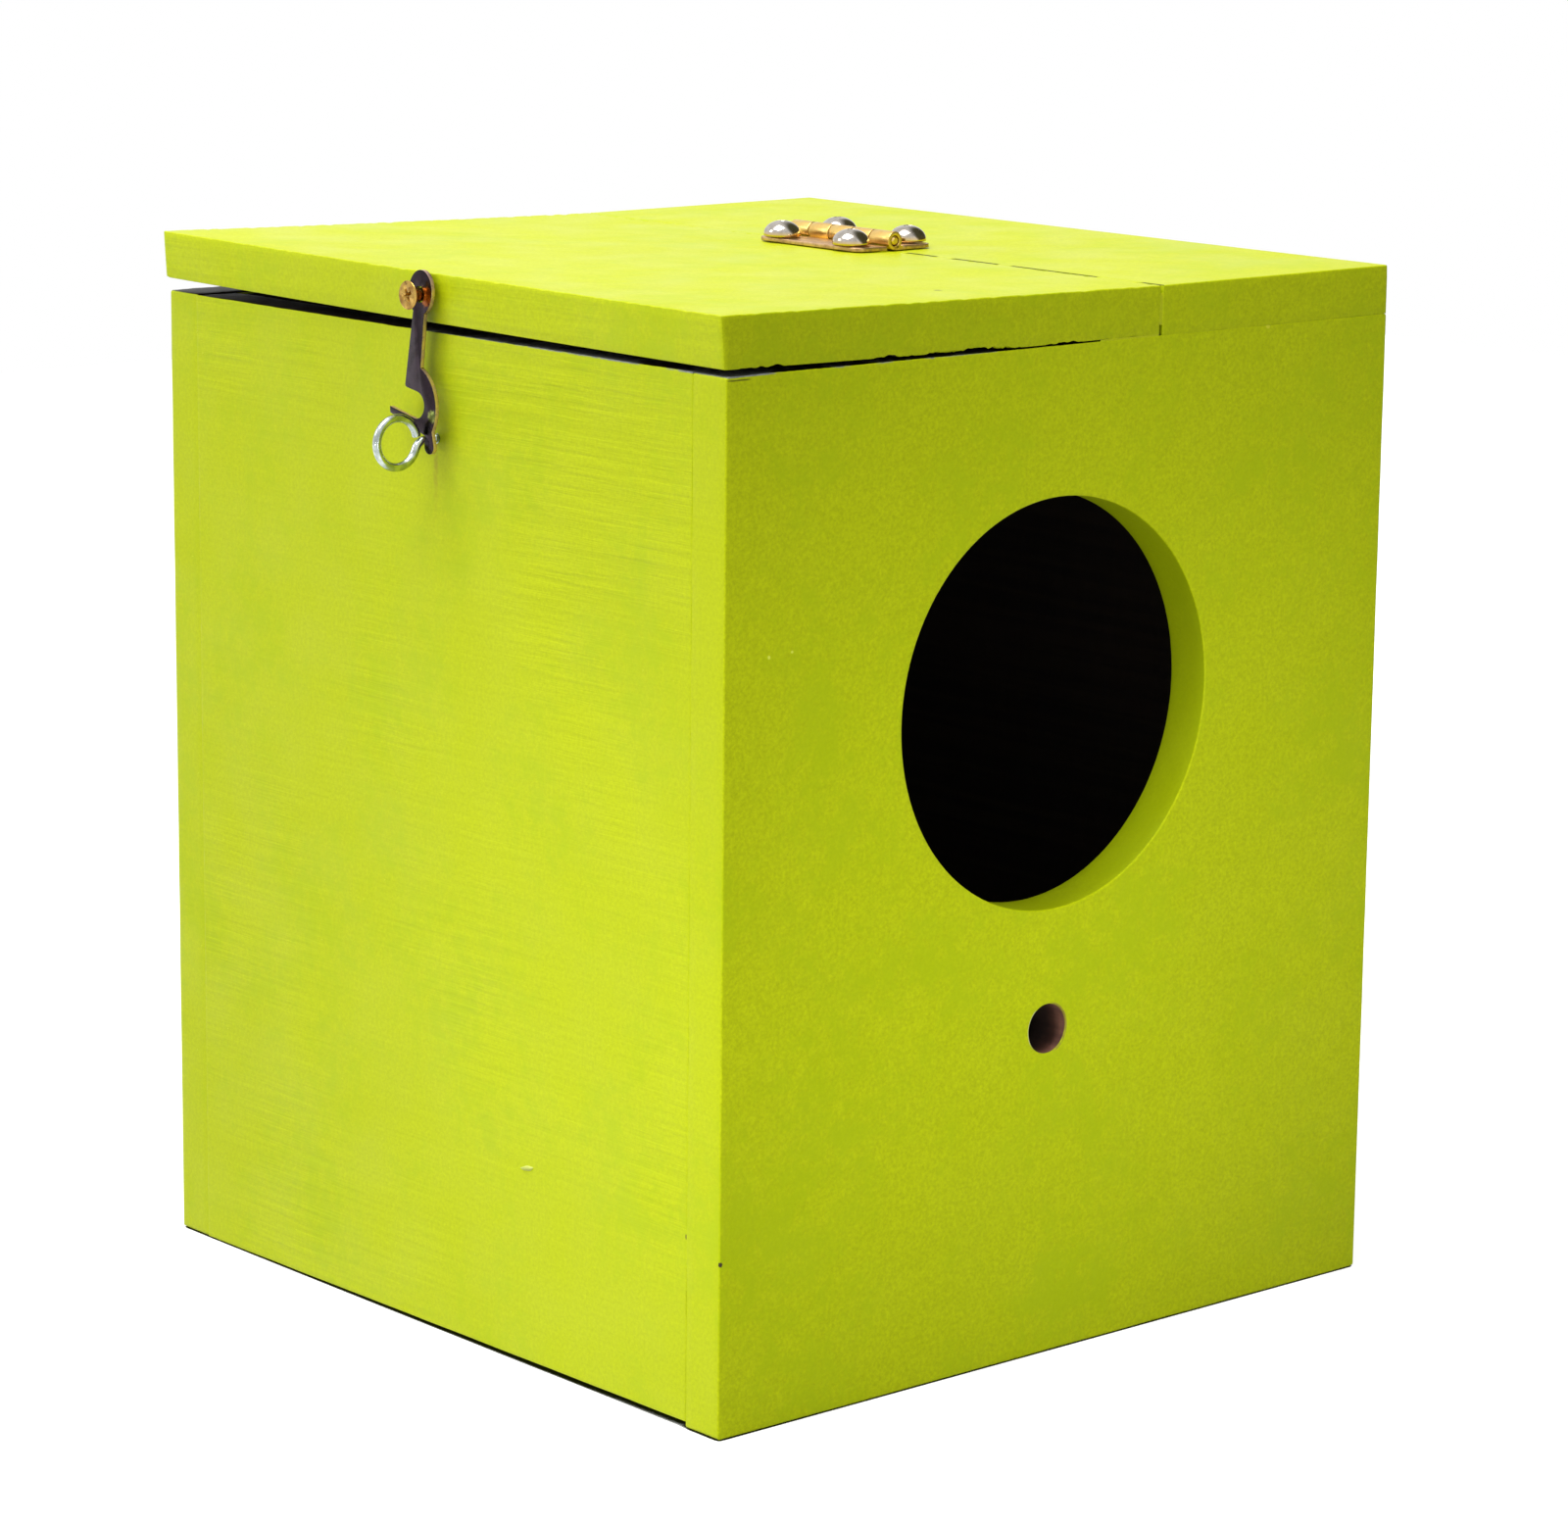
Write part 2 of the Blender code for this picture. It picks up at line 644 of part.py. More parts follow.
def add_hinge_screws(lid_frame, strip_frame):
    """Add the four domed screws, two on each side of the hinge line."""
    surface = BOX_HEIGHT - HINGE_AXIS_Z
    for side, group, frame in ((-1, "lid", lid_frame), (1, "strip", strip_frame)):
        for index, y in enumerate(hinge_screw_offsets(), 1):
            name = f"hinge_screw_{group}_{index}"
            add_domed_screw(name, side * HINGE_SCREW_REACH, y, surface, frame)


def hook_crotch():
    """Return the corner between the jaw and the tail, which rests on the eye's shank."""
    return KNOB_ACROSS + KNOB_RADIUS, -NOTCH_DOWN - NOTCH_RADIUS - JAW_ROOT_WIDTH


def hook_end():
    """Return the oval end of the hook, open towards the shank."""
    start = -math.acos((SHANK_OPEN_SIDE - END_ACROSS) / END_HALF_WIDTH)
    end = math.tau - math.acos((-SHANK_BACK_AT_END - END_ACROSS) / END_HALF_WIDTH)
    count = round(math.degrees(end - start) / ARC_STEP_DEGREES)
    points = []
    for index in range(count + 1):
        angle = start + (end - start) * index / count
        across = END_ACROSS + END_HALF_WIDTH * math.cos(angle)
        points.append((across, END_HALF_HEIGHT * math.sin(angle) - END_DOWN))
    return points


def hook_outline():
    """Return the hook's outline, counterclockwise. The pivot is at zero, and the open side is towards +u."""
    shoulder = math.degrees(math.acos((-SHANK_BACK_AT_BEND - BEND_ACROSS) / BEND_RADIUS))
    back = arc((BEND_ACROSS, -BEND_DOWN), BEND_RADIUS, shoulder, 180.0 + BEND_HEEL_DEGREES)
    crotch = hook_crotch()
    knob_middle = (KNOB_ACROSS, crotch[1] - KNOB_BELOW_CROTCH)
    knob = arc(knob_middle, KNOB_RADIUS, KNOB_START_DEGREES, 360.0, ARC_STEP_DEGREES * 2)
    tip_v = JAW_RISE - NOTCH_DOWN - NOTCH_RADIUS
    jaw = [crotch, (JAW_TIP_ACROSS - JAW_TIP_SLANT, tip_v - JAW_TIP_WIDTH), (JAW_TIP_ACROSS, tip_v)]
    notch = arc((NOTCH_ACROSS, -NOTCH_DOWN), NOTCH_RADIUS, 270.0, 90.0)
    lip_v = NOTCH_RADIUS - NOTCH_DOWN
    lip = [(SHANK_OPEN_SIDE - NOTCH_LIP, lip_v), (SHANK_OPEN_SIDE, lip_v + NOTCH_LIP)]
    return hook_end() + back + knob + jaw + notch + lip


def add_hook(hook_frame):
    """Add the stamped hook. Its frame has its origin on the pivot, X along the screw and Z up the shank."""
    flat = Matrix(((0, 0, 1, 0), (1, 0, 0, 0), (0, 1, 0, 0), (0, 0, 0, 1)))
    outer_face = -HOOK_STANDOFF - HOOK_THICKNESS
    builder = prism(hook_outline(), outer_face, -HOOK_STANDOFF, flat)
    hook = add_object("latch_hook", builder, bronze_metal("latch_hook"), parent=hook_frame)
    outside = (outer_face - CUT_OVERRUN, 0.0, 0.0)
    inside = (-HOOK_STANDOFF + CUT_OVERRUN, 0.0, 0.0)
    bore = (outside, inside, PIVOT_SHANK_RADIUS + PIVOT_HOLE_CLEARANCE)
    drill(hook, [bore], SMALL_HOLE_STEPS, "pivot_hole", parent=hook_frame)
    smooth(hook)


def add_pivot_screw(frame, place):
    """Add the countersunk screw that carries the hook. Its head stands clear of the plate."""
    neck = PIVOT_HEAD_RIM + PIVOT_CONE_LENGTH
    profile = (
        (0.0, 0.0),
        (PIVOT_HEAD_RADIUS, 0.0),
        (PIVOT_HEAD_RADIUS, -PIVOT_HEAD_RIM),
        (PIVOT_SHANK_RADIUS, -neck),
        (PIVOT_SHANK_RADIUS, PIVOT_POINT_LENGTH - PIVOT_SCREW_LENGTH),
        (0.0, -PIVOT_SCREW_LENGTH),
    )
    matrix = aim(place - Vector((PIVOT_PROUD, 0.0, 0.0)), (-1.0, 0.0, 0.0))
    name = "hook_pivot_screw"
    screw = add_object(name, turned(profile, SCREW_STEPS), brass_metal(name), frame, matrix)
    recess(screw, PIVOT_RECESS_SPAN, PIVOT_RECESS_WIDTH, PIVOT_RECESS_DEPTH, 0.0, frame, matrix)
    smooth(screw)


def eye_places(hook_matrix):
    """Return where the eye's shank meets the wall, and its ring's middle. The hook's crotch sits on it."""
    crotch_u, crotch_v = hook_crotch()
    reach = EYE_WIRE_RADIUS + EYE_SHANK_CLEARANCE
    plate = hook_matrix @ Vector((-HOOK_STANDOFF - HOOK_THICKNESS, crotch_u + reach, crotch_v - reach))
    ring_x = plate.x - EYE_RING_CLEARANCE - EYE_WIRE_RADIUS - EYE_RING_RADIUS
    return Vector((LEFT_FACE, plate.y, plate.z)), Vector((ring_x, plate.y, plate.z))


def eye_path(ring_middle):
    """Return the wire's centre line and width share: round the ring, through the neck, into the wall."""
    ring = arc((0.0, 0.0), EYE_RING_RADIUS, EYE_END_DEGREES, 360.0 + EYE_NECK_DEGREES, RING_STEP_DEGREES)
    last_u, last_v = ring[-1]
    turn = 90.0 + EYE_NECK_DEGREES
    neck_u = last_u + EYE_NECK_RADIUS * math.sin(math.radians(turn))
    neck_v = last_v - EYE_NECK_RADIUS * math.cos(math.radians(turn))
    neck = arc((neck_u, neck_v), EYE_NECK_RADIUS, 90.0 + turn, 90.0, RING_STEP_DEGREES * 2)
    drop = neck[-1][1]
    path = [(ring_middle.x + u, ring_middle.z + v - drop, 1.0) for u, v in ring + neck[1:]]
    point_x = LEFT_FACE + EYE_SCREW_DEPTH
    path.append((point_x - EYE_POINT_LENGTH, ring_middle.z, 1.0))
    path.append((point_x, ring_middle.z, EYE_POINT_SHARE))
    return path


def add_screw_eye(ring_middle):
    """Add the screw eye: one bent wire with closed ends."""
    curve = bpy.data.curves.new("screw_eye", "CURVE")
    curve.dimensions = "3D"
    curve.bevel_depth = EYE_WIRE_RADIUS
    curve.bevel_resolution = 2
    curve.use_fill_caps = True
    path = eye_path(ring_middle)
    spline = curve.splines.new("POLY")
    spline.points.add(len(path) - 1)
    for point, (x, z, share) in zip(spline.points, path):
        point.co = (x, ring_middle.y, z, 1.0)
        point.radius = share
    curve.materials.append(zinc_metal("screw_eye"))
    thing = bpy.data.objects.new("screw_eye", curve)
    bpy.context.scene.collection.objects.link(thing)


def main():
    """Build the whole box."""
    clear_scene()
    axis = Matrix.Translation((HINGE_AXIS_X, 0.0, HINGE_AXIS_Z))
    lid_matrix = axis @ Matrix.Rotation(LID_REST_ANGLE, 4, "Y")
    lid_frame = add_pivot("lid_axis", lid_matrix)
    strip_frame = add_pivot("strip_side", axis)
    surface = BOX_HEIGHT - HINGE_AXIS_Z
    pivot = Vector((-LID_LENGTH, PIVOT_OFFSET, surface - PIVOT_DEPTH))
    lean = Matrix.Rotation(math.radians(HOOK_LEAN_DEGREES), 4, "X")
    hook_matrix = Matrix.Translation(pivot) @ lean
    hook_frame = add_pivot("hook_axis", hook_matrix, lid_frame)
    eye, ring_middle = eye_places(lid_matrix @ hook_matrix)
    add_front_panel()
    add_back_panel()
    add_left_panel(eye)
    add_right_panel()
    add_floor_panel()
    add_top_strip()
    add_lid(lid_frame)
    add_leaf("hinge_leaf_fixed", 1, strip_frame, True)
    add_leaf("hinge_leaf_lid", -1, lid_frame, False)
    add_hinge_pin(strip_frame)
    add_hinge_screws(lid_frame, strip_frame)
    add_pivot_screw(lid_frame, pivot)
    add_hook(hook_frame)
    add_screw_eye(ring_middle)
    add_nails()


main()
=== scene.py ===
"""Looks of a painted wooden breeding box for cage birds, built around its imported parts.

Lengths are metres in the frame of the parts: +Z is up, the entrance faces -Y and the latch is on -X.
"""

import logging
import math
from collections.abc import Callable, Sequence
from dataclasses import dataclass, replace
from enum import Enum

import bmesh
import bpy
from mathutils import Matrix, Vector, noise
from mathutils.geometry import delaunay_2d_cdt


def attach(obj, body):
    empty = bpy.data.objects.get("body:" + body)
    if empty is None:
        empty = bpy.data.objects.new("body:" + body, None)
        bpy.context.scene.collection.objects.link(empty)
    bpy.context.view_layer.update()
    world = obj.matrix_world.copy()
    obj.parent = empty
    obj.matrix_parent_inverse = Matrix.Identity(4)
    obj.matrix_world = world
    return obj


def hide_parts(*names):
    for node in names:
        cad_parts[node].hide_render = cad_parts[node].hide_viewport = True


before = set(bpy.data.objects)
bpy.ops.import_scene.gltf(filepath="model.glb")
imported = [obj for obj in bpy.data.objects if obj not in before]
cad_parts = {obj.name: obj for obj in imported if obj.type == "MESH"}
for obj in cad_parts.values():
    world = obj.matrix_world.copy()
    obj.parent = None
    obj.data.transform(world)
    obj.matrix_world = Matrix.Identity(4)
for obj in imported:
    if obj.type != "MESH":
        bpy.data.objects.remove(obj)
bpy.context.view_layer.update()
LOG = logging.getLogger("breeding_box")
Colour = tuple[float, float, float]
Marks = tuple[tuple[Colour, float, Colour], ...]
Socket = bpy.types.NodeSocket
Sockets = bpy.types.NodeOutputs

# Painted light: the top face's copy of the coat is drawn this much darker and redder, for the way the sun
# falls full on it.
TOP_SHADE = 0.965
TOP_WARMTH = 1.045
# The year rings of boards whose fibres run along X.
WIDE_GRAIN: Colour = (7.0, 260.0, 260.0)
# The tones of the lime coat at a shade of one: dark, light and green.
COAT_TONES: tuple[Colour, ...] = ((0.455, 0.535, 0.0015), (0.635, 0.730, 0.0040), (0.475, 0.600, 0.0020))
# A place this near to the edge of a plate counts as on it.
EDGE = 0.0001
# Points this near to a board's edge share its unevenness.
BORDER = 0.002
# The corner radius where two boards meet under paint.
SQUARE_CORNER = 0.0003
# The cross recess of a screw: how wide its arms are, how deep it goes and how its edges are softened.
RECESS_WIDTH = 0.0012
RECESS_DEPTH = 0.0014
RECESS_SOFTNESS = 0.00008
# What share of the recess's width is left at its bottom.
RECESS_NARROWING = 0.4
# How far the grid of points in a face keeps off its rim and its holes, in steps of the grid.
RIM_CLEARANCE = 0.6
HOLE_CLEARANCE = 0.4
# How near two points of a face are taken as one.
SAME_PLACE = 1e-7
WHITE = (1.0, 1.0, 1.0, 1.0)


# Node trees


class Graph:
    """A shader or geometry node tree that is filled by short calls."""

    def __init__(self, tree: bpy.types.NodeTree, empty: bool = False) -> None:
        """Take the tree to fill, and clear it first if it has to be empty."""
        self.tree = tree
        if empty:
            tree.nodes.clear()

    def feed(self, node: bpy.types.Node, inputs: dict) -> bpy.types.Node:
        """Set a node's inputs.

        Args:
            node: the node.
            inputs: a value or another node's socket for each input, by name or number.

        Returns:
            The same node.
        """
        for key, value in inputs.items():
            if isinstance(value, Socket):
                self.tree.links.new(value, node.inputs[key])
            else:
                node.inputs[key].default_value = value
        return node

    def add(self, kind: str, inputs: dict | None = None, **settings: object) -> bpy.types.Node:
        """Add one node.

        Args:
            kind: Blender's name of the node's type.
            inputs: its inputs, as for feed.
            settings: the node's own options.

        Returns:
            The new node.
        """
        node = self.tree.nodes.new(kind)
        for name, value in settings.items():
            setattr(node, name, value)
        return self.feed(node, inputs or {})

    def shape(self, kind: str, inputs: dict | None = None, **settings: object) -> Socket:
        """Return the first result of a new geometry node. The arguments are those of add."""
        return self.add("GeometryNode" + kind, inputs, **settings).outputs[0]

    def math(self, operation: str, first: object, second: object = 0.0) -> Socket:
        """Return the result of one sum of two numbers or sockets."""
        return self.add("ShaderNodeMath", {0: first, 1: second}, operation=operation).outputs[0]

    def chain(self, operation: str, values: tuple[object, ...]) -> Socket:
        """Return the result of one kind of sum over several numbers or sockets, from the left."""
        result = values[0]
        for value in values[1:]:
            result = self.math(operation, result, value)
        return result

    def product(self, *values: object) -> Socket:
        """Return the product of numbers or sockets."""
        return self.chain("MULTIPLY", values)

    def total(self, *values: object) -> Socket:
        """Return the sum of numbers or sockets."""
        return self.chain("ADD", values)

    def less(self, *values: object) -> Socket:
        """Return the first number or socket less the others."""
        return self.chain("SUBTRACT", values)

    def vector(self, operation: str, first: object, second: object, result: str = "Vector") -> Socket:
        """Return the result of one sum of two points, from the output of the given name."""
        return self.add("ShaderNodeVectorMath", {0: first, 1: second}, operation=operation).outputs[result]

    def point(self, x: object = 0.0, y: object = 0.0, z: object = 0.0) -> Socket:
        """Return a point from its coordinates."""
        return self.add("ShaderNodeCombineXYZ", {0: x, 1: y, 2: z}).outputs[0]

    def stretched(self, place: Socket, scale: Colour) -> Socket:
        """Return a point scaled along X, Y and Z."""
        return self.add("ShaderNodeMapping", {"Vector": place, "Scale": scale}).outputs[0]

    def ramp(self, value: object, low: float, high: float, start: float = 0.0, end: float = 1.0) -> Socket:
        """Return a value moved smoothly from one range to another, and kept inside it.

        Args:
            value: the socket that is mapped.
            low: where the range begins.
            high: where it ends.
            start: what comes out at its beginning.
            end: what comes out at its end.

        Returns:
            The mapped value's socket.
        """
        inputs = {"Value": value, "From Min": low, "From Max": high, "To Min": start, "To Max": end}
        return self.add("ShaderNodeMapRange", inputs, interpolation_type="SMOOTHSTEP").outputs[0]

    def blend(self, share: object, first: object, second: object) -> Socket:
        """Return a mix of two colours.

        Args:
            share: how much of the second shows.
            first: a colour or socket.
            second: a colour or socket.

        Returns:
            The mixed colour's socket.
        """
        pair = [(*c, 1.0) if isinstance(c, tuple) else c for c in (first, second)]
        return self.add("ShaderNodeMix", {0: share, 6: pair[0], 7: pair[1]}, data_type="RGBA").outputs[2]

    def noise(self, place: object, scale: float, detail: float = 2.0, rough: float = 0.5) -> Socket:
        """Return a cloudy pattern from 0 to 1.

        Args:
            place: the socket of the point that is looked up.
            scale: how many clouds fit in a metre.
            detail: how many finer layers it has.
            rough: how strong they are.

        Returns:
            The pattern's socket.
        """
        inputs = {"Vector": place, "Scale": scale, "Detail": detail, "Roughness": rough}
        return self.add("ShaderNodeTexNoise", inputs).outputs[0]


def new_group(
    name: str, kind: str, inputs: dict[str, Sequence[str]], outputs: Sequence[str]
) -> tuple[Graph, Sockets, bpy.types.Node]:
    """Make an empty node group with named sockets.

    Args:
        name: the group's name.
        kind: Shader or Geometry.
        inputs: the names of its inputs, by their type.
        outputs: the names of its outputs: numbers in a shader group, else shapes.

    Returns:
        The group's graph, the sockets of its inputs and its output node.
    """
    tree = bpy.data.node_groups.new(name, kind + "NodeTree")
    sockets = [(label, "INPUT", socket_type) for socket_type, labels in inputs.items() for label in labels]
    sockets += [(label, "OUTPUT", "Float" if kind == "Shader" else "Geometry") for label in outputs]
    for label, way, socket_type in sockets:
        tree.interface.new_socket(label, in_out=way, socket_type="NodeSocket" + socket_type)
    graph = Graph(tree)
    return graph, graph.add("NodeGroupInput").outputs, graph.add("NodeGroupOutput")


class Effects:
    """Shader effects that several finishes share, each built once."""

    @staticmethod
    def paint_film() -> None:
        """Build the skin of a hand-painted coat: strokes in patches, orange peel and a cloudy tone."""
        shares = ("Stroke Share", "Peel Share", "Grain Share")
        inputs = {"Vector": ("Position", "Stroke Position"), "Float": shares}
        graph, given, made = new_group("paint_film", "Shader", inputs, ("Height", "Tone", "Hue", "Gloss"))
        position = given["Position"]
        clouds = {"Vector": position, "Scale": 9.0, "Detail": 1.0}
        bend = graph.add("ShaderNodeTexNoise", clouds).outputs["Color"]
        stray = graph.add("ShaderNodeVectorMath", {0: bend, 3: 0.9}, operation="SCALE").outputs[0]
        path = graph.vector("ADD", given["Stroke Position"], stray)
        strokes = graph.ramp(graph.noise(path, 1.0, 4.0, 0.6), 0.32, 0.68)
        patch = graph.ramp(graph.noise(position, 13.0, 2.0), 0.40, 0.62, 0.25, 1.0)
        stroke = graph.product(strokes, patch, given["Stroke Share"])
        peel = graph.product(graph.noise(position, 430.0, 3.0, 0.6), given["Peel Share"])
        cloud = graph.product(graph.noise(position, 17.0, 3.0, 0.55), 0.30)
        grain = graph.less(graph.noise(position, 1100.0, 3.0, 0.75), 0.5)
        speckle = graph.product(grain, given["Grain Share"])
        fleet = graph.product(graph.noise(position, 210.0, 4.0, 0.75), graph.noise(position, 31.0, 2.0))
        results = {
            "Height": graph.total(stroke, peel),
            "Tone": graph.total(cloud, speckle, graph.product(stroke, 0.30), 0.295),
            "Hue": graph.ramp(fleet, 0.20, 0.40, 0.0, 0.75),
            "Gloss": graph.noise(position, 55.0, 3.0),
        }
        graph.feed(made, results)

    @staticmethod
    def fleck() -> None:
        """Build the mask of one small mark with a ragged outline."""
        inputs = {"Vector": ("Position", "Centre"), "Float": ("Radius",)}
        graph, given, made = new_group("fleck", "Shader", inputs, ("Mask",))
        gap = graph.vector("DISTANCE", given["Position"], given["Centre"], "Value")
        share = graph.math("DIVIDE", gap, given["Radius"])
        ragged = graph.total(share, graph.noise(given["Position"], 1500.0, 2.0))
        graph.feed(made, {"Mask": graph.ramp(ragged, 1.1, 1.6, 1.0, 0.0)})

    @staticmethod
    def fine_line() -> None:
        """Build the mask of a thin broken line where one coordinate has a given value."""
        inputs = {"Vector": ("Position",), "Float": ("Coordinate", "Place", "Half Width", "Break Share")}
        graph, given, made = new_group("fine_line", "Shader", inputs, ("Mask",))
        wander = graph.product(graph.noise(given["Position"], 60.0, 2.0), 0.0006)
        gap = graph.less(given["Coordinate"], given["Place"])
        off = graph.math("ABSOLUTE", graph.total(gap, graph.less(wander, 0.0003)))
        line = graph.ramp(graph.math("DIVIDE", off, given["Half Width"]), 0.4, 1.0, 1.0, 0.0)
        broken = graph.less(graph.noise(given["Position"], 130.0, 3.0), given["Break Share"])
        graph.feed(made, {"Mask": graph.product(line, graph.ramp(broken, -0.06, 0.06))})

    @staticmethod
    def handled_metal() -> None:
        """Build the skin of a small stamped or turned metal piece: fine scratches, smudges and grime."""
        inputs = {"Vector": ("Position", "Scratch Position")}
        graph, given, made = new_group("handled_metal", "Shader", inputs, ("Scratch", "Smudge", "Grime"))
        results = {
            "Scratch": graph.noise(given["Scratch Position"], 1.0, 3.0, 0.6),
            "Smudge": graph.ramp(graph.noise(given["Position"], 420.0, 3.0), 0.35, 0.7),
            "Grime": graph.ramp(graph.noise(given["Position"], 900.0, 4.0, 0.65), 0.5, 0.72),
        }
        graph.feed(made, results)


# Finishes


class Coat:
    """A finish that is being drawn on its Principled shader, layer by layer.

    Attributes:
        graph: the material's graph.
        surface: the shader.
        place: the point on the object, in metres.
        axes: its three coordinates.
        colour: the colour so far.
        height: the relief so far.
    """

    def __init__(self, tree: bpy.types.NodeTree) -> None:
        """Start on a material's own node tree."""
        self.graph = Graph(tree)
        self.surface = tree.nodes["Principled BSDF"]
        self.place = self.graph.add("ShaderNodeTexCoord").outputs["Object"]
        self.axes = self.graph.add("ShaderNodeSeparateXYZ", {0: self.place}).outputs
        self.colour: object = None
        self.height: object = None

    def effect(self, name: str, inputs: dict) -> Sockets:
        """Put a shared effect into the material.

        Args:
            name: the effect's name, which is also its builder's.
            inputs: its values or sockets, apart from the position.

        Returns:
            The sockets of its results.
        """
        if name not in bpy.data.node_groups:
            getattr(Effects, name)()
        inputs = {"Position": self.place, **inputs}
        return self.graph.add("ShaderNodeGroup", inputs, node_tree=bpy.data.node_groups[name]).outputs

    def cover(self, share: object, colour: object) -> None:
        """Let a share of a colour, both values or sockets, show over the colour so far."""
        self.colour = self.graph.blend(share, self.colour, colour)

    def flecks(self, marks: Marks) -> None:
        """Add small marks, each given as (place, radius, colour)."""
        for centre, radius, colour in marks:
            self.cover(self.effect("fleck", {"Centre": centre, "Radius": radius})["Mask"], colour)

    def finish(self, depth: float, values: dict) -> None:
        """Give the shader its colour, its relief and its other values.

        Args:
            depth: how deep the relief is at a height of one.
            values: the shader's other values or sockets, by name.
        """
        bump = self.graph.add("ShaderNodeBump", {"Strength": 1.0, "Distance": depth, "Height": self.height})
        self.graph.feed(self.surface, {"Base Color": self.colour, "Normal": bump.outputs[0], **values})


@dataclass(frozen=True)
class Finish:
    """A procedural finish. Its subclasses draw it on a Principled shader."""

    name: str

    def material(self) -> bpy.types.Material:
        """Return the finish as a material, built on first use."""
        found = bpy.data.materials.get(self.name)
        if found is None:
            found = bpy.data.materials.new(self.name)
            found.use_nodes = True
            self.draw(Coat(found.node_tree))
        return found

    def draw(self, coat: Coat) -> None:
        """Draw the finish on a fresh coat."""
        raise NotImplementedError


class Stroke(Enum):
    """The way that the paint was laid on: how much finer the strokes are along X, Y and Z, per metre."""

    ALONG_DEPTH = (500.0, 24.0, 620.0)
    ALONG_WIDTH = (26.0, 520.0, 620.0)
    ROLLED = (240.0, 240.0, 240.0)


@dataclass(frozen=True)
class JointLine:
    """A joint or crack that shows through the paint.

    Attributes:
        axis: the number of the coordinate that it is fixed in.
        place: where it lies there.
        span_axis: the number of the coordinate that it runs along.
        low: where it begins.
        high: where it ends.
        half_width: half its width.
        breaks: how much of it is filled with paint.
        strength: how dark it is.
        colour: its colour.
        fade: how far from its ends it fades out.
    """

    axis: int
    place: float
    span_axis: int
    low: float
    high: float
    half_width: float
    breaks: float
    strength: float
    colour: Colour = (0.26, 0.30, 0.004)
    fade: float = 0.001

    def mask(self, coat: Coat) -> Socket:
        """Return where the line shows on a coat."""
        line = {
            "Coordinate": coat.axes[self.axis],
            "Place": self.place,
            "Half Width": self.half_width,
            "Break Share": self.breaks,
        }
        along = coat.axes[self.span_axis]
        start = coat.graph.ramp(along, self.low - self.fade, self.low + self.fade)
        end = coat.graph.ramp(along, self.high - self.fade, self.high + self.fade, 1.0, 0.0)
        return coat.graph.product(coat.effect("fine_line", line)["Mask"], coat.graph.product(start, end))


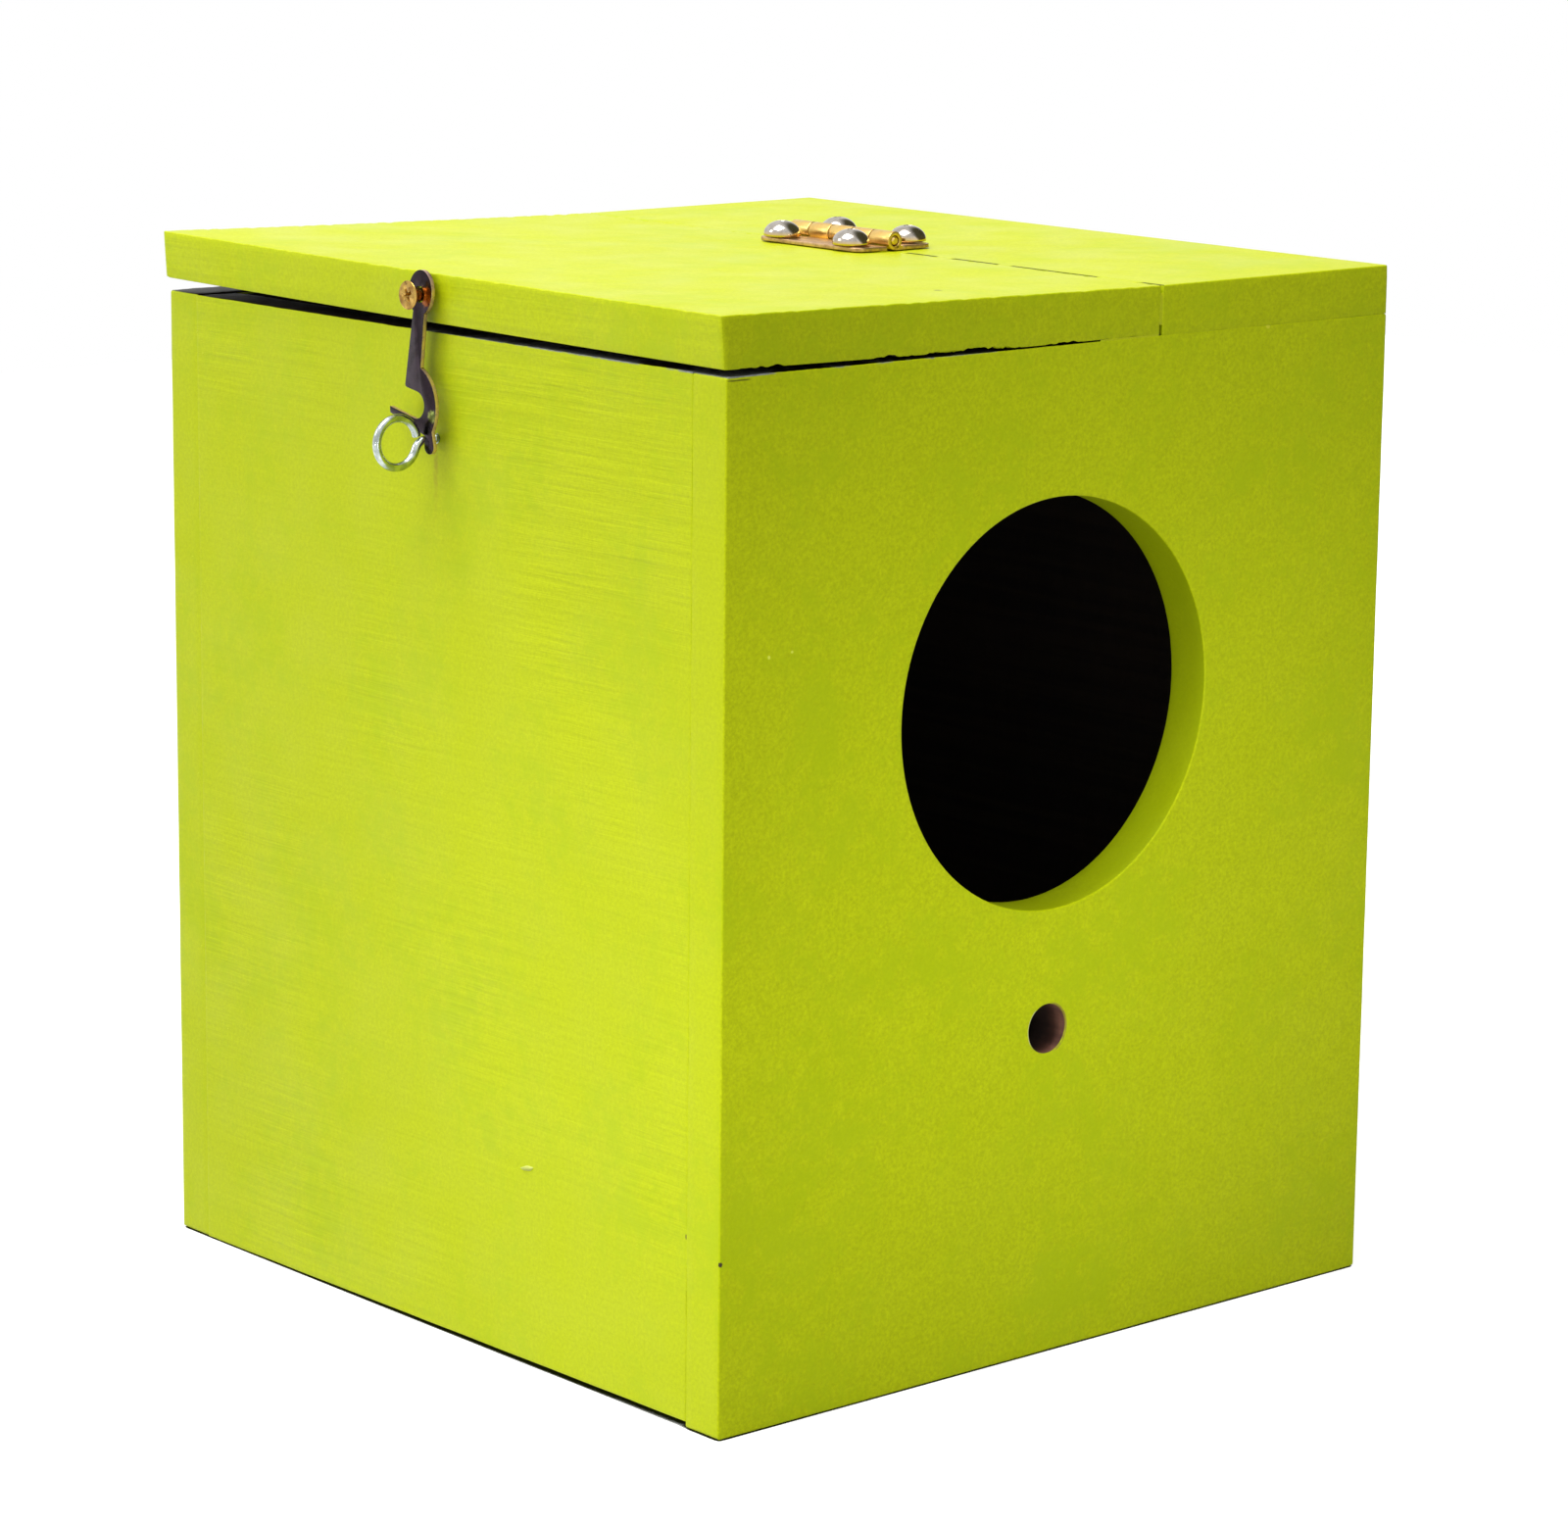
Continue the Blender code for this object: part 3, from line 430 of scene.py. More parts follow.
@dataclass(frozen=True)
class LimePaint(Finish):
    """Satin lime paint on board.

    Attributes:
        stroke: the way that it was laid on.
        stroke_share: how strong the strokes are.
        peel_share: how strong the orange peel is.
        grain_share: how strong its fine grain is.
        sheen: how much it shines.
        shade: painted light and shade: how much lighter or darker this copy of the coat is drawn, for the way
            light falls on its faces.
        warmth: painted light: how much redder this copy is drawn where the sun is full on it.
        bounce_green: painted light: how much greener it is drawn, for the green light that bounces inside a
            hole.
        worn_height: the height above which the rim is rubbed down to pale board, or None.
        worn_end: where along X the rubbed rim ends.
        joints: the joint lines that show through.
        marks: (place, radius, colour) of small marks.
        streak: whether the wall carries a faint brownish streak under the screw eye, painted shade for the
            eye's shadow.
        rubbed_ring: (middle, radius) of a hole whose rim is rubbed pale, or None.
    """

    stroke: Stroke = Stroke.ROLLED
    stroke_share: float = 0.5
    peel_share: float = 0.5
    grain_share: float = 1.3
    sheen: float = 0.22
    shade: float = 1.0
    warmth: float = 1.0
    bounce_green: float = 0.0
    worn_height: float | None = None
    worn_end: float = 1.0
    joints: tuple[JointLine, ...] = ()
    marks: Marks = ()
    streak: bool = False
    rubbed_ring: tuple[Colour, float] | None = None

    def draw(self, coat: Coat) -> None:
        """Draw the coat, its joint lines and its marks."""
        graph = coat.graph
        skin = {
            "Stroke Position": graph.stretched(coat.place, self.stroke.value),
            "Stroke Share": self.stroke_share,
            "Peel Share": self.peel_share,
            "Grain Share": self.grain_share,
        }
        film = coat.effect("paint_film", skin)
        # Painted light: shade and warmth give lighter, darker or redder copies of the one coat.
        dark, light, green = (
            (red * self.shade * self.warmth, middle * self.shade, blue * self.shade)
            for red, middle, blue in COAT_TONES
        )
        coat.height = film["Height"]
        coat.colour = graph.blend(film["Tone"], dark, light)
        # Painted bounce light: where set, the coat is pushed towards its green tone, on top of the film's
        # random green patches.
        coat.cover(graph.total(graph.product(film["Hue"], 1.0 - self.bounce_green), self.bounce_green), green)
        if self.rubbed_ring is not None:
            self.rub_ring(coat, *self.rubbed_ring)
        for joint in self.joints:
            mask = joint.mask(coat)
            coat.height = graph.less(coat.height, mask)
            coat.cover(graph.product(mask, joint.strength), joint.colour)
        if self.streak:
            self.paint_eye_shadow(coat)
        coat.flecks(self.marks)
        if self.worn_height is not None:
            self.shade_bare_top(coat)
            self.rub_rim(coat)
        gloss = graph.ramp(film["Gloss"], 0.25, 0.75, 0.40, 0.54)
        coat.finish(0.00014, {"Specular IOR Level": self.sheen, "Roughness": gloss})

    def shade_bare_top(self, coat: Coat) -> None:
        """Draw the wall's top behind its outer rim near-black: bare board, with painted shade for the lid
        over it.
        """
        graph = coat.graph
        from_side = graph.less(BoxSizes.width / 2, graph.math("ABSOLUTE", coat.axes[0]))
        from_front = graph.less(BoxSizes.depth / 2, graph.math("ABSOLUTE", coat.axes[1]))
        inset = graph.ramp(graph.math("MINIMUM", from_side, from_front), 0.00025, 0.00055)
        top = graph.ramp(coat.axes[2], self.worn_height - 0.0009, self.worn_height - 0.0007)
        coat.cover(graph.product(inset, top), (0.022, 0.015, 0.009))

    def rub_rim(self, coat: Coat) -> None:
        """Rub the paint off the upper rim, in stretches."""
        graph = coat.graph
        ragged = graph.product(graph.noise(coat.place, 700.0, 3.0), 0.0003)
        level = graph.total(coat.axes[2], ragged)
        edge = graph.ramp(level, self.worn_height - 0.00012, self.worn_height + 0.00004)
        kept = graph.ramp(coat.axes[0], self.worn_end - 0.002, self.worn_end, 1.0, 0.0)
        rubbed = graph.product(graph.ramp(graph.noise(coat.place, 60.0, 4.0, 0.7), 0.42, 0.54), kept)
        pale = graph.blend(graph.noise(coat.place, 800.0), (0.11, 0.12, 0.12), (0.36, 0.38, 0.38))
        coat.cover(graph.product(edge, rubbed), pale)

    @staticmethod
    def rub_ring(coat: Coat, centre: Colour, radius: float) -> None:
        """Add the rim of a hole, in stretches: pale on its upper left and brown elsewhere.

        Args:
            coat: the coat so far.
            centre: the middle of the hole.
            radius: the radius of the rim.
        """
        graph = coat.graph
        gap = graph.vector("DISTANCE", coat.place, centre, "Value")
        line = {"Coordinate": gap, "Place": radius, "Half Width": 0.0004, "Break Share": 0.47}
        mask = coat.effect("fine_line", line)["Mask"]
        offset = graph.vector("SUBTRACT", coat.place, centre)
        slope = graph.vector("DOT_PRODUCT", offset, (-0.9, 0.0, 0.4), "Value")
        upper = graph.ramp(graph.math("DIVIDE", slope, radius), 0.3, 0.8)
        coat.cover(graph.product(mask, 0.75), graph.blend(upper, (0.24, 0.13, 0.05), (0.72, 0.72, 0.42)))

    @staticmethod
    def paint_eye_shadow(coat: Coat) -> None:
        """Add painted shade: a faint brownish streak under the screw eye, where its shadow falls."""
        graph = coat.graph
        off = graph.math("ABSOLUTE", graph.total(coat.axes[1], 0.0022))
        narrow = graph.ramp(off, 0.0002, 0.0013, 1.0, 0.0)
        start = graph.ramp(coat.axes[2], 0.196, 0.212)
        end = graph.ramp(coat.axes[2], 0.2165, 0.2180, 1.0, 0.0)
        broken = graph.product(graph.ramp(graph.noise(coat.place, 500.0, 3.0), 0.2, 0.8), 0.55)
        coat.cover(graph.product(narrow, start, end, broken), (0.36, 0.25, 0.02))


@dataclass(frozen=True)
class BareBoard(Finish):
    """Unpainted brown board.

    Attributes:
        dark: the colour of its dark fibres.
        light: the colour of its light fibres.
        fade: (start, end) along Y of painted shade that darkens a hole's wall deeper in, or None.
        grain: how fine the year rings' lines are along X, Y and Z, per metre.
        ring_share: how strong they are.
    """

    # Painted shade: these default tones are far darker than bare wood, so that the inside of the box reads as
    # in shade.
    dark: Colour = (0.015, 0.010, 0.008)
    light: Colour = (0.044, 0.028, 0.020)
    fade: tuple[float, float] | None = None
    grain: Colour = (260.0, 7.0, 260.0)
    ring_share: float = 0.2

    def draw(self, coat: Coat) -> None:
        """Draw short fibres, the lines of the year rings and a mottled tone."""
        graph = coat.graph
        fibres = graph.noise(graph.stretched(coat.place, (420.0, 420.0, 90.0)), 1.0, 5.0, 0.7)
        mottle = graph.noise(coat.place, 38.0, 4.0, 0.6)
        rings = graph.ramp(graph.noise(graph.stretched(coat.place, self.grain), 1.0, 3.0), 0.36, 0.64)
        cloudy = graph.total(graph.product(fibres, 0.45), graph.product(mottle, 0.4))
        tone = graph.total(cloudy, graph.product(rings, self.ring_share))
        coat.height = fibres
        coat.colour = graph.blend(graph.ramp(tone, 0.3, 0.8), self.dark, self.light)
        # Painted shade: darker deeper into the hole.
        if self.fade is not None:
            coat.cover(graph.ramp(coat.axes[1], *self.fade, 0.0, 0.85), (0.006, 0.004, 0.003))
        coat.finish(0.00025, {"Roughness": graph.ramp(fibres, 0.2, 0.8, 0.75, 0.92)})


@dataclass(frozen=True)
class SmallMetal(Finish):
    """A metal with fine scratches, smudges and grime.

    Attributes:
        clean: the colour where it is clean.
        dull: the colour where it has dulled.
        grime: the colour of the dirt in it.
        low_rough: its roughness where it is polished.
        high_rough: its roughness where it is smudged.
        grain: how much finer the scratches are along X, Y and Z, per metre.
        depth: how deep the scratches are.
        grime_share: how much dirt shows.
        marks: (place, radius, colour) of small marks; on the hook they are painted reflections.
        warm_reflection_band: (low height, high height) between which a painted warm reflection at the foot
            fades out.
    """

    clean: Colour
    dull: Colour
    grime: Colour
    low_rough: float
    high_rough: float
    grain: Colour = (900.0, 900.0, 900.0)
    depth: float = 0.00002
    grime_share: float = 0.25
    marks: Marks = ()
    warm_reflection_band: tuple[float, float] | None = None

    def draw(self, coat: Coat) -> None:
        """Draw the metal."""
        graph = coat.graph
        skin = coat.effect("handled_metal", {"Scratch Position": graph.stretched(coat.place, self.grain)})
        dirt = graph.product(skin["Grime"], self.grime_share)
        coat.height = skin["Scratch"]
        coat.colour = graph.blend(skin["Smudge"], self.clean, self.dull)
        coat.cover(dirt, self.grime)
        coat.flecks(self.marks)
        # Painted reflection: a warm band at the foot, for the lit top that it mirrors.
        if self.warm_reflection_band:
            coat.cover(graph.ramp(coat.axes[2], *self.warm_reflection_band, 0.9, 0.0), (0.74, 0.52, 0.20))
        smudged = graph.ramp(skin["Smudge"], 0.0, 1.0, self.low_rough, self.high_rough)
        rough = graph.total(graph.product(dirt, 0.4), smudged)
        coat.finish(self.depth, {"Metallic": 1.0, "Roughness": rough})


# Mesh tools


def soft_noise(point: Vector, scale: float) -> float:
    """Return a smooth random value from 0 to 1 at a point, with a given number of waves to a metre."""
    return min(1.0, max(0.0, 0.5 + 0.7 * noise.noise(point * scale)))


def in_scene(name: str, data: bpy.types.ID) -> bpy.types.Object:
    """Return a new object of the scene that shows the given data."""
    thing = bpy.data.objects.new(name, data)
    bpy.context.scene.collection.objects.link(thing)
    return thing


def new_piece(
    name: str, mesh: bpy.types.Mesh, body: str, nodes: Sequence[str] = ()
) -> bpy.types.Object:
    """Turn a finished mesh into a piece of the object.

    Args:
        name: the piece's name.
        mesh: its mesh, in the frame of the parts.
        body: the body that it rides on.
        nodes: the CAD nodes that it stands for.

    Returns:
        The piece.
    """
    thing = in_scene(name, mesh)
    mesh.name = name
    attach(thing, body)
    if nodes:
        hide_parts(*nodes)
    LOG.info("%s: %d faces", name, len(mesh.polygons))
    return thing


def ring_of_faces(builder: bmesh.types.BMesh, lower: list, upper: list, material: int) -> None:
    """Join two rings of as many points with smooth faces.

    Args:
        builder: the mesh that is built.
        lower: the points of one ring.
        upper: the points of the other.
        material: the faces' material number.
    """
    for index, first in enumerate(lower):
        following = (index + 1) % len(lower)
        face = builder.faces.new((first, lower[following], upper[following], upper[index]))
        face.material_index = material
        face.smooth = True


def circle_points(
    radius: float, steps: int, middle: tuple[float, float] = (0.0, 0.0)
) -> list[tuple[float, float]]:
    """Return evenly spaced points on a circle.

    Args:
        radius: its radius.
        steps: how many points it gets.
        middle: its middle.

    Returns:
        The points, counterclockwise.
    """
    turns = [math.tau * index / steps for index in range(steps)]
    return [(middle[0] + radius * math.cos(turn), middle[1] + radius * math.sin(turn)) for turn in turns]


def turned(profile: Sequence[tuple[float, float]], steps: int) -> bmesh.types.BMesh:
    """Spin a profile round Z into a closed shape.

    Args:
        profile: (radius, height) points, the first and last on the axis.
        steps: how many sides it gets.

    Returns:
        The shape's bmesh.
    """
    builder = bmesh.new()
    poles = [builder.verts.new((0.0, 0.0, profile[0][1])), builder.verts.new((0.0, 0.0, profile[-1][1]))]
    rings = [
        [builder.verts.new((*spot, height)) for spot in circle_points(radius, steps)]
        for radius, height in profile[1:-1]
    ]
    for lower, upper in zip(rings, rings[1:]):
        ring_of_faces(builder, lower, upper, 0)
    for pole, ring in ((poles[0], rings[0]), (poles[1], rings[-1])):
        for index, first in enumerate(ring):
            builder.faces.new((pole, first, ring[(index + 1) % steps])).smooth = True
    bmesh.ops.recalc_face_normals(builder, faces=builder.faces)
    return builder


def prism(outline: Sequence[tuple[float, float]], low: float, high: float) -> bmesh.types.BMesh:
    """Extrude an outline along Z. Faces 0 and 1 are its ends.

    Args:
        outline: its corners, counterclockwise.
        low: where it starts.
        high: where it ends.

    Returns:
        The closed shape's bmesh.
    """
    builder = bmesh.new()
    bottom = [builder.verts.new((u, v, low)) for u, v in outline]
    top = [builder.verts.new((u, v, high)) for u, v in outline]
    builder.faces.new(list(reversed(bottom)))
    builder.faces.new(top)
    ring_of_faces(builder, bottom, top, 1)
    bmesh.ops.recalc_face_normals(builder, faces=builder.faces)
    return builder


def arc(
    centre: tuple[float, float], radius: float, start: float, end: float, step: float
) -> list[tuple[float, float]]:
    """Return points along an arc, both ends among them.

    Args:
        centre: the arc's middle.
        radius: its radius.
        start: its first angle in degrees.
        end: its last angle in degrees.
        step: about how many degrees lie between two points.

    Returns:
        The points.
    """
    count = max(1, round(abs(end - start) / step))
    turns = [math.radians(start + (end - start) * index / count) for index in range(count + 1)]
    return [(centre[0] + radius * math.cos(turn), centre[1] + radius * math.sin(turn)) for turn in turns]


def aim(place: Vector, direction: Vector) -> Matrix:
    """Return a matrix that moves a shape to a place and turns its +Z to a direction."""
    turn = Vector((0.0, 0.0, 1.0)).rotation_difference(direction)
    return Matrix.Translation(place) @ turn.to_matrix().to_4x4()


def to_mesh(
    builder: bmesh.types.BMesh, name: str, materials: Sequence[bpy.types.Material] = ()
) -> bpy.types.Mesh:
    """Turn a bmesh into a mesh with its materials.

    Args:
        builder: the bmesh, which is used up.
        name: the mesh's name.
        materials: its materials, by number.

    Returns:
        The mesh.
    """
    mesh = bpy.data.meshes.new(name)
    builder.to_mesh(mesh)
    builder.free()
    for material in materials:
        mesh.materials.append(material)
    return mesh


def square(half: float, level: float) -> list[Colour]:
    """Return the corners of a level square round the origin."""
    return [(-half, -half, level), (half, -half, level), (half, half, level), (-half, half, level)]


def sheet(name: str, corners: Sequence[Colour]) -> bpy.types.Mesh:
    """Return a new mesh of one face."""
    builder = bmesh.new()
    builder.faces.new([builder.verts.new(corner) for corner in corners])
    return to_mesh(builder, name)


def joined(
    name: str, meshes: Sequence[bpy.types.Mesh], matrix: Matrix, material: bpy.types.Material
) -> bpy.types.Mesh:
    """Join meshes into one of a single material.

    Args:
        name: the new mesh's name.
        meshes: the meshes, which stay as they are.
        matrix: moves the whole.
        material: its material.

    Returns:
        The new mesh.
    """
    builder = bmesh.new()
    for mesh in meshes:
        builder.from_mesh(mesh)
    bmesh.ops.transform(builder, matrix=matrix, verts=builder.verts)
    for face in builder.faces:
        face.material_index = 0
    return to_mesh(builder, name, [material])


def settled(thing: bpy.types.Object, crease: float) -> bpy.types.Mesh:
    """Take an object off the scene and return its mesh after its modifiers.

    Args:
        thing: the object.
        crease: the angle in degrees past which an edge stays sharp.

    Returns:
        The new mesh.
    """
    graph = bpy.context.evaluated_depsgraph_get()
    result = bpy.data.meshes.new_from_object(thing.evaluated_get(graph), depsgraph=graph)
    thing.modifiers.clear()
    bpy.data.objects.remove(thing, do_unlink=True)
    result.shade_smooth()
    result.set_sharp_from_angle(angle=math.radians(crease))
    return result


def carved(
    mesh: bpy.types.Mesh,
    cutter: bpy.types.Mesh,
    soften: float,
    segments: int = 2,
    limit: float = 38.0,
    crease: float = 60.0,
    edge_material: int = -1,
) -> bpy.types.Mesh:
    """Cut one shape out of another and round the edges.

    Args:
        mesh: the shape.
        cutter: what is cut out of it.
        soften: how far the edges are rounded.
        segments: how many faces go round an edge.
        limit: the angle in degrees past which an edge is rounded.
        crease: the angle in degrees past which an edge stays sharp.
        edge_material: the material number of the rounded edges, or -1 for their neighbours'.

    Returns:
        The cut mesh.
    """
    thing = in_scene(mesh.name + "_draft", mesh)
    tool = in_scene(mesh.name + "_tool", cutter)
    boolean = thing.modifiers.new("Cut", "BOOLEAN")
    boolean.operation = "DIFFERENCE"
    boolean.solver = "EXACT"
    boolean.object = tool
    bevel = thing.modifiers.new("Soft edges", "BEVEL")
    bevel.width = soften
    bevel.segments = segments
    bevel.limit_method = "ANGLE"
    bevel.angle_limit = math.radians(limit)
    bevel.material = edge_material
    result = settled(thing, crease)
    bpy.data.objects.remove(tool, do_unlink=True)
    return result


def cross_cutter(span: float, top: float) -> bpy.types.Mesh:
    """Return the cutter of a cross recess that narrows towards its bottom.

    Args:
        span: how wide the cross is.
        top: the height of the head's top.

    Returns:
        The cutter's mesh.
    """
    tip, side = span / 2, RECESS_WIDTH / 2
    outline = []
    for turn in range(4):
        rotation = Matrix.Rotation(math.pi / 2 * turn, 2)
        outline += [tuple(rotation @ Vector(corner)) for corner in ((tip, -side), (tip, side), (side, side))]
    builder = prism(outline, top - RECESS_DEPTH, top + RECESS_DEPTH)
    low = [vert for vert in builder.verts if vert.co.z < top]
    bmesh.ops.scale(builder, vec=(RECESS_NARROWING, RECESS_NARROWING, 1.0), verts=low)
    return to_mesh(builder, "cross_cutter")


def grown(name: str, maker: str, values: dict, carrier: bpy.types.Mesh | None = None) -> bpy.types.Mesh:
    """Run a maker and return its result as a plain mesh.

    Args:
        name: the mesh's name.
        maker: the maker's name.
        values: a value for each of its named inputs.
        carrier: the mesh that goes into it, if it takes one.

    Returns:
        The mesh.
    """
    if maker not in bpy.data.node_groups:
        getattr(Makers, maker)()
    thing = in_scene(name + "_maker", carrier or bpy.data.meshes.new(name + "_carrier"))
    modifier = thing.modifiers.new("Maker", "NODES")
    modifier.node_group = bpy.data.node_groups[maker]
    sockets = [item for item in modifier.node_group.interface.items_tree if item.item_type == "SOCKET"]
    identifiers = {item.name: item.identifier for item in sockets if item.in_out == "INPUT"}
    for label, value in values.items():
        modifier[identifiers[label]] = value
    result = settled(thing, 40.0)
    result.name = name
    return result


def threaded(
    radius: float, height: float, turns: float, ridge: float, material: bpy.types.Material
) -> bpy.types.Mesh:
    """Return a screw thread that rises from the origin along Z.

    Args:
        radius: the radius of the shank.
        height: how long the thread is.
        turns: how often it goes round.
        ridge: half the width of its ridge.
        material: its material.

    Returns:
        The thread's mesh.
    """
    values = {"Radius": radius, "Height": height, "Turns": turns, "Ridge": ridge, "Material": material}
    return grown("thread", "thread", values)


class Makers:
    """Geometry node trees for what repeats or follows a path, each built once."""

    @staticmethod
    def start(name: str, inputs: dict[str, Sequence[str]]) -> tuple[Graph, Sockets, bpy.types.Node]:
        """Begin a maker, which also takes a material and gives a shape. Its inputs are as for new_group."""
        return new_group(name, "Geometry", {**inputs, "Material": ("Material",)}, ("Geometry",))

    @staticmethod
    def finish(graph: Graph, made: bpy.types.Node, shape: Socket, material: Socket) -> None:
        """Make a shape real, give it its material and hand it out.

        Args:
            graph: the maker's graph.
            made: its output node.
            shape: the shape.
            material: its material.
        """
        real = graph.shape("RealizeInstances", {0: shape})
        graph.feed(made, {0: graph.shape("SetMaterial", {"Geometry": real, "Material": material})})

    @staticmethod
    def knuckle_row() -> None:
        """Build a row of rolled hinge knuckles along Y, each with the tongue that joins it to its leaf."""
        numbers = ("Pitch", "Start", "Length", "Outer Radius", "Bore Radius", "Edge Radius", "Side", "Tongue")
        graph, given, made = Makers.start("knuckle_row", {"Int": ("Count",), "Float": numbers})
        wall = graph.less(given["Outer Radius"], given["Bore Radius"])
        middle = graph.product(graph.total(given["Outer Radius"], given["Bore Radius"]), 0.5)
        circle = graph.shape("CurvePrimitiveCircle", {"Resolution": 40, "Radius": middle})
        section = graph.shape("CurvePrimitiveQuadrilateral", {"Width": wall, "Height": given["Length"]})
        edge = {"Curve": section, "Radius": given["Edge Radius"], "Limit Radius": True, "Count": 3}
        rounded = graph.shape("FilletCurve", edge, mode="POLY")
        tube = graph.shape("CurveToMesh", {"Curve": circle, "Profile Curve": rounded})
        plate = graph.shape("MeshCube", {"Size": graph.point(given["Tongue"], given["Length"], wall)})
        reach = graph.product(given["Tongue"], 0.5, given["Side"])
        spot = graph.point(reach, 0.0, graph.product(middle, -1.0))
        both = graph.add("GeometryNodeJoinGeometry")
        for part in (
            graph.shape("Transform", {"Geometry": tube, "Rotation": (math.pi / 2, 0.0, 0.0)}),
            graph.shape("Transform", {"Geometry": plate, "Translation": spot}),
        ):
            graph.feed(both, {0: part})
        first, step = graph.point(y=given["Start"]), graph.point(y=given["Pitch"])
        points = graph.shape("MeshLine", {"Count": given["Count"], "Start Location": first, "Offset": step})
        row = graph.shape("InstanceOnPoints", {"Points": points, "Instance": both.outputs[0]})
        Makers.finish(graph, made, row, given["Material"])

    @staticmethod
    def screw_pair() -> None:
        """Build a row of screws along Y from one turned screw, each turned a little further than the last."""
        numbers = ("Reach", "Spacing", "Middle", "Level", "Turn")
        inputs = {"Object": ("Screw",), "Int": ("Count",), "Float": numbers}
        graph, given, made = Makers.start("screw_pair", inputs)
        back = graph.product(graph.less(given["Count"], 1.0), given["Spacing"], 0.5)
        first = graph.point(given["Reach"], graph.less(given["Middle"], back), given["Level"])
        step = graph.point(y=given["Spacing"])
        points = graph.shape("MeshLine", {"Count": given["Count"], "Start Location": first, "Offset": step})
        screw = graph.add("GeometryNodeObjectInfo", {"Object": given["Screw"]}).outputs["Geometry"]
        turn = graph.point(z=graph.total(graph.product(graph.shape("InputIndex"), given["Turn"]), 0.35))
        row = graph.shape("InstanceOnPoints", {"Points": points, "Instance": screw, "Rotation": turn})
        Makers.finish(graph, made, row, given["Material"])

    @staticmethod
    def wire() -> None:
        """Build a round wire along a path, thinner where the path's own share is below one."""
        inputs = {"Geometry": ("Path",), "Float": ("Radius",), "Int": ("Sides",)}
        graph, given, made = Makers.start("wire", inputs)
        share = graph.shape("InputNamedAttribute", {"Name": "share"}, data_type="FLOAT")
        curve = graph.shape("MeshToCurve", {"Mesh": given["Path"]})
        sized = graph.shape("SetCurveRadius", {"Curve": curve, "Radius": share})
        ring = graph.shape("CurvePrimitiveCircle", {"Resolution": given["Sides"], "Radius": given["Radius"]})
        sweep = {"Curve": sized, "Profile Curve": ring, "Scale": share, "Fill Caps": True}
        Makers.finish(graph, made, graph.shape("CurveToMesh", sweep), given["Material"])

    @staticmethod
    def thread() -> None:
        """Build a screw thread round Z: a ridge along a spiral."""
        graph, given, made = Makers.start("thread", {"Float": ("Radius", "Height", "Turns", "Ridge")})
        path = {
            "Resolution": 24,
            "Rotations": given["Turns"],
            "Start Radius": given["Radius"],
            "End Radius": given["Radius"],
            "Height": given["Height"],
        }
        ridge = graph.shape("CurvePrimitiveCircle", {"Resolution": 4, "Radius": given["Ridge"]})
        sweep = {"Curve": graph.shape("CurveSpiral", path), "Profile Curve": ridge, "Fill Caps": True}
        Makers.finish(graph, made, graph.shape("CurveToMesh", sweep), given["Material"])

    @staticmethod
    def nibs() -> None:
        """Scatter small flat nibs of dried paint over a face."""
        inputs = {"Geometry": ("Face",), "Float": ("Density", "Size", "Flatness"), "Int": ("Seed",)}
        graph, given, made = Makers.start("nibs", inputs)
        scatter = {"Mesh": given["Face"], "Density": given["Density"], "Seed": given["Seed"]}
        points = graph.add("GeometryNodeDistributePointsOnFaces", scatter).outputs
        ball = graph.shape("MeshIcoSphere", {"Radius": given["Size"], "Subdivisions": 2})
        sizes = {2: 0.35, 3: 1.0, "Seed": given["Seed"]}
        size = graph.add("FunctionNodeRandomValue", sizes, data_type="FLOAT").outputs[1]
        row = {
            "Points": points["Points"],
            "Instance": ball,
            "Rotation": points["Rotation"],
            "Scale": graph.point(size, size, given["Flatness"]),
        }
        Makers.finish(graph, made, graph.shape("InstanceOnPoints", row), given["Material"])


# Boards


def full(_across: float, _up: float) -> float:
    """Return one, for a rim that is rounded alike all round."""
    return 1.0


def as_cut(point: Vector) -> Vector:
    """Return the point as it is, for a plate with a true shape."""
    return point


@dataclass(frozen=True)
class Hole:
    """A round hole through a plate.

    Attributes:
        across: its middle across the plate.
        up: its middle up the plate.
        radius: its radius.
        face_rim: how far its shown rim is rounded.
        back_rim: how far its hidden rim is rounded.
        steps: how many points its ring has.
        wall: the material number of its wall.
    """

    across: float
    up: float
    radius: float
    face_rim: float
    back_rim: float
    steps: int
    wall: int


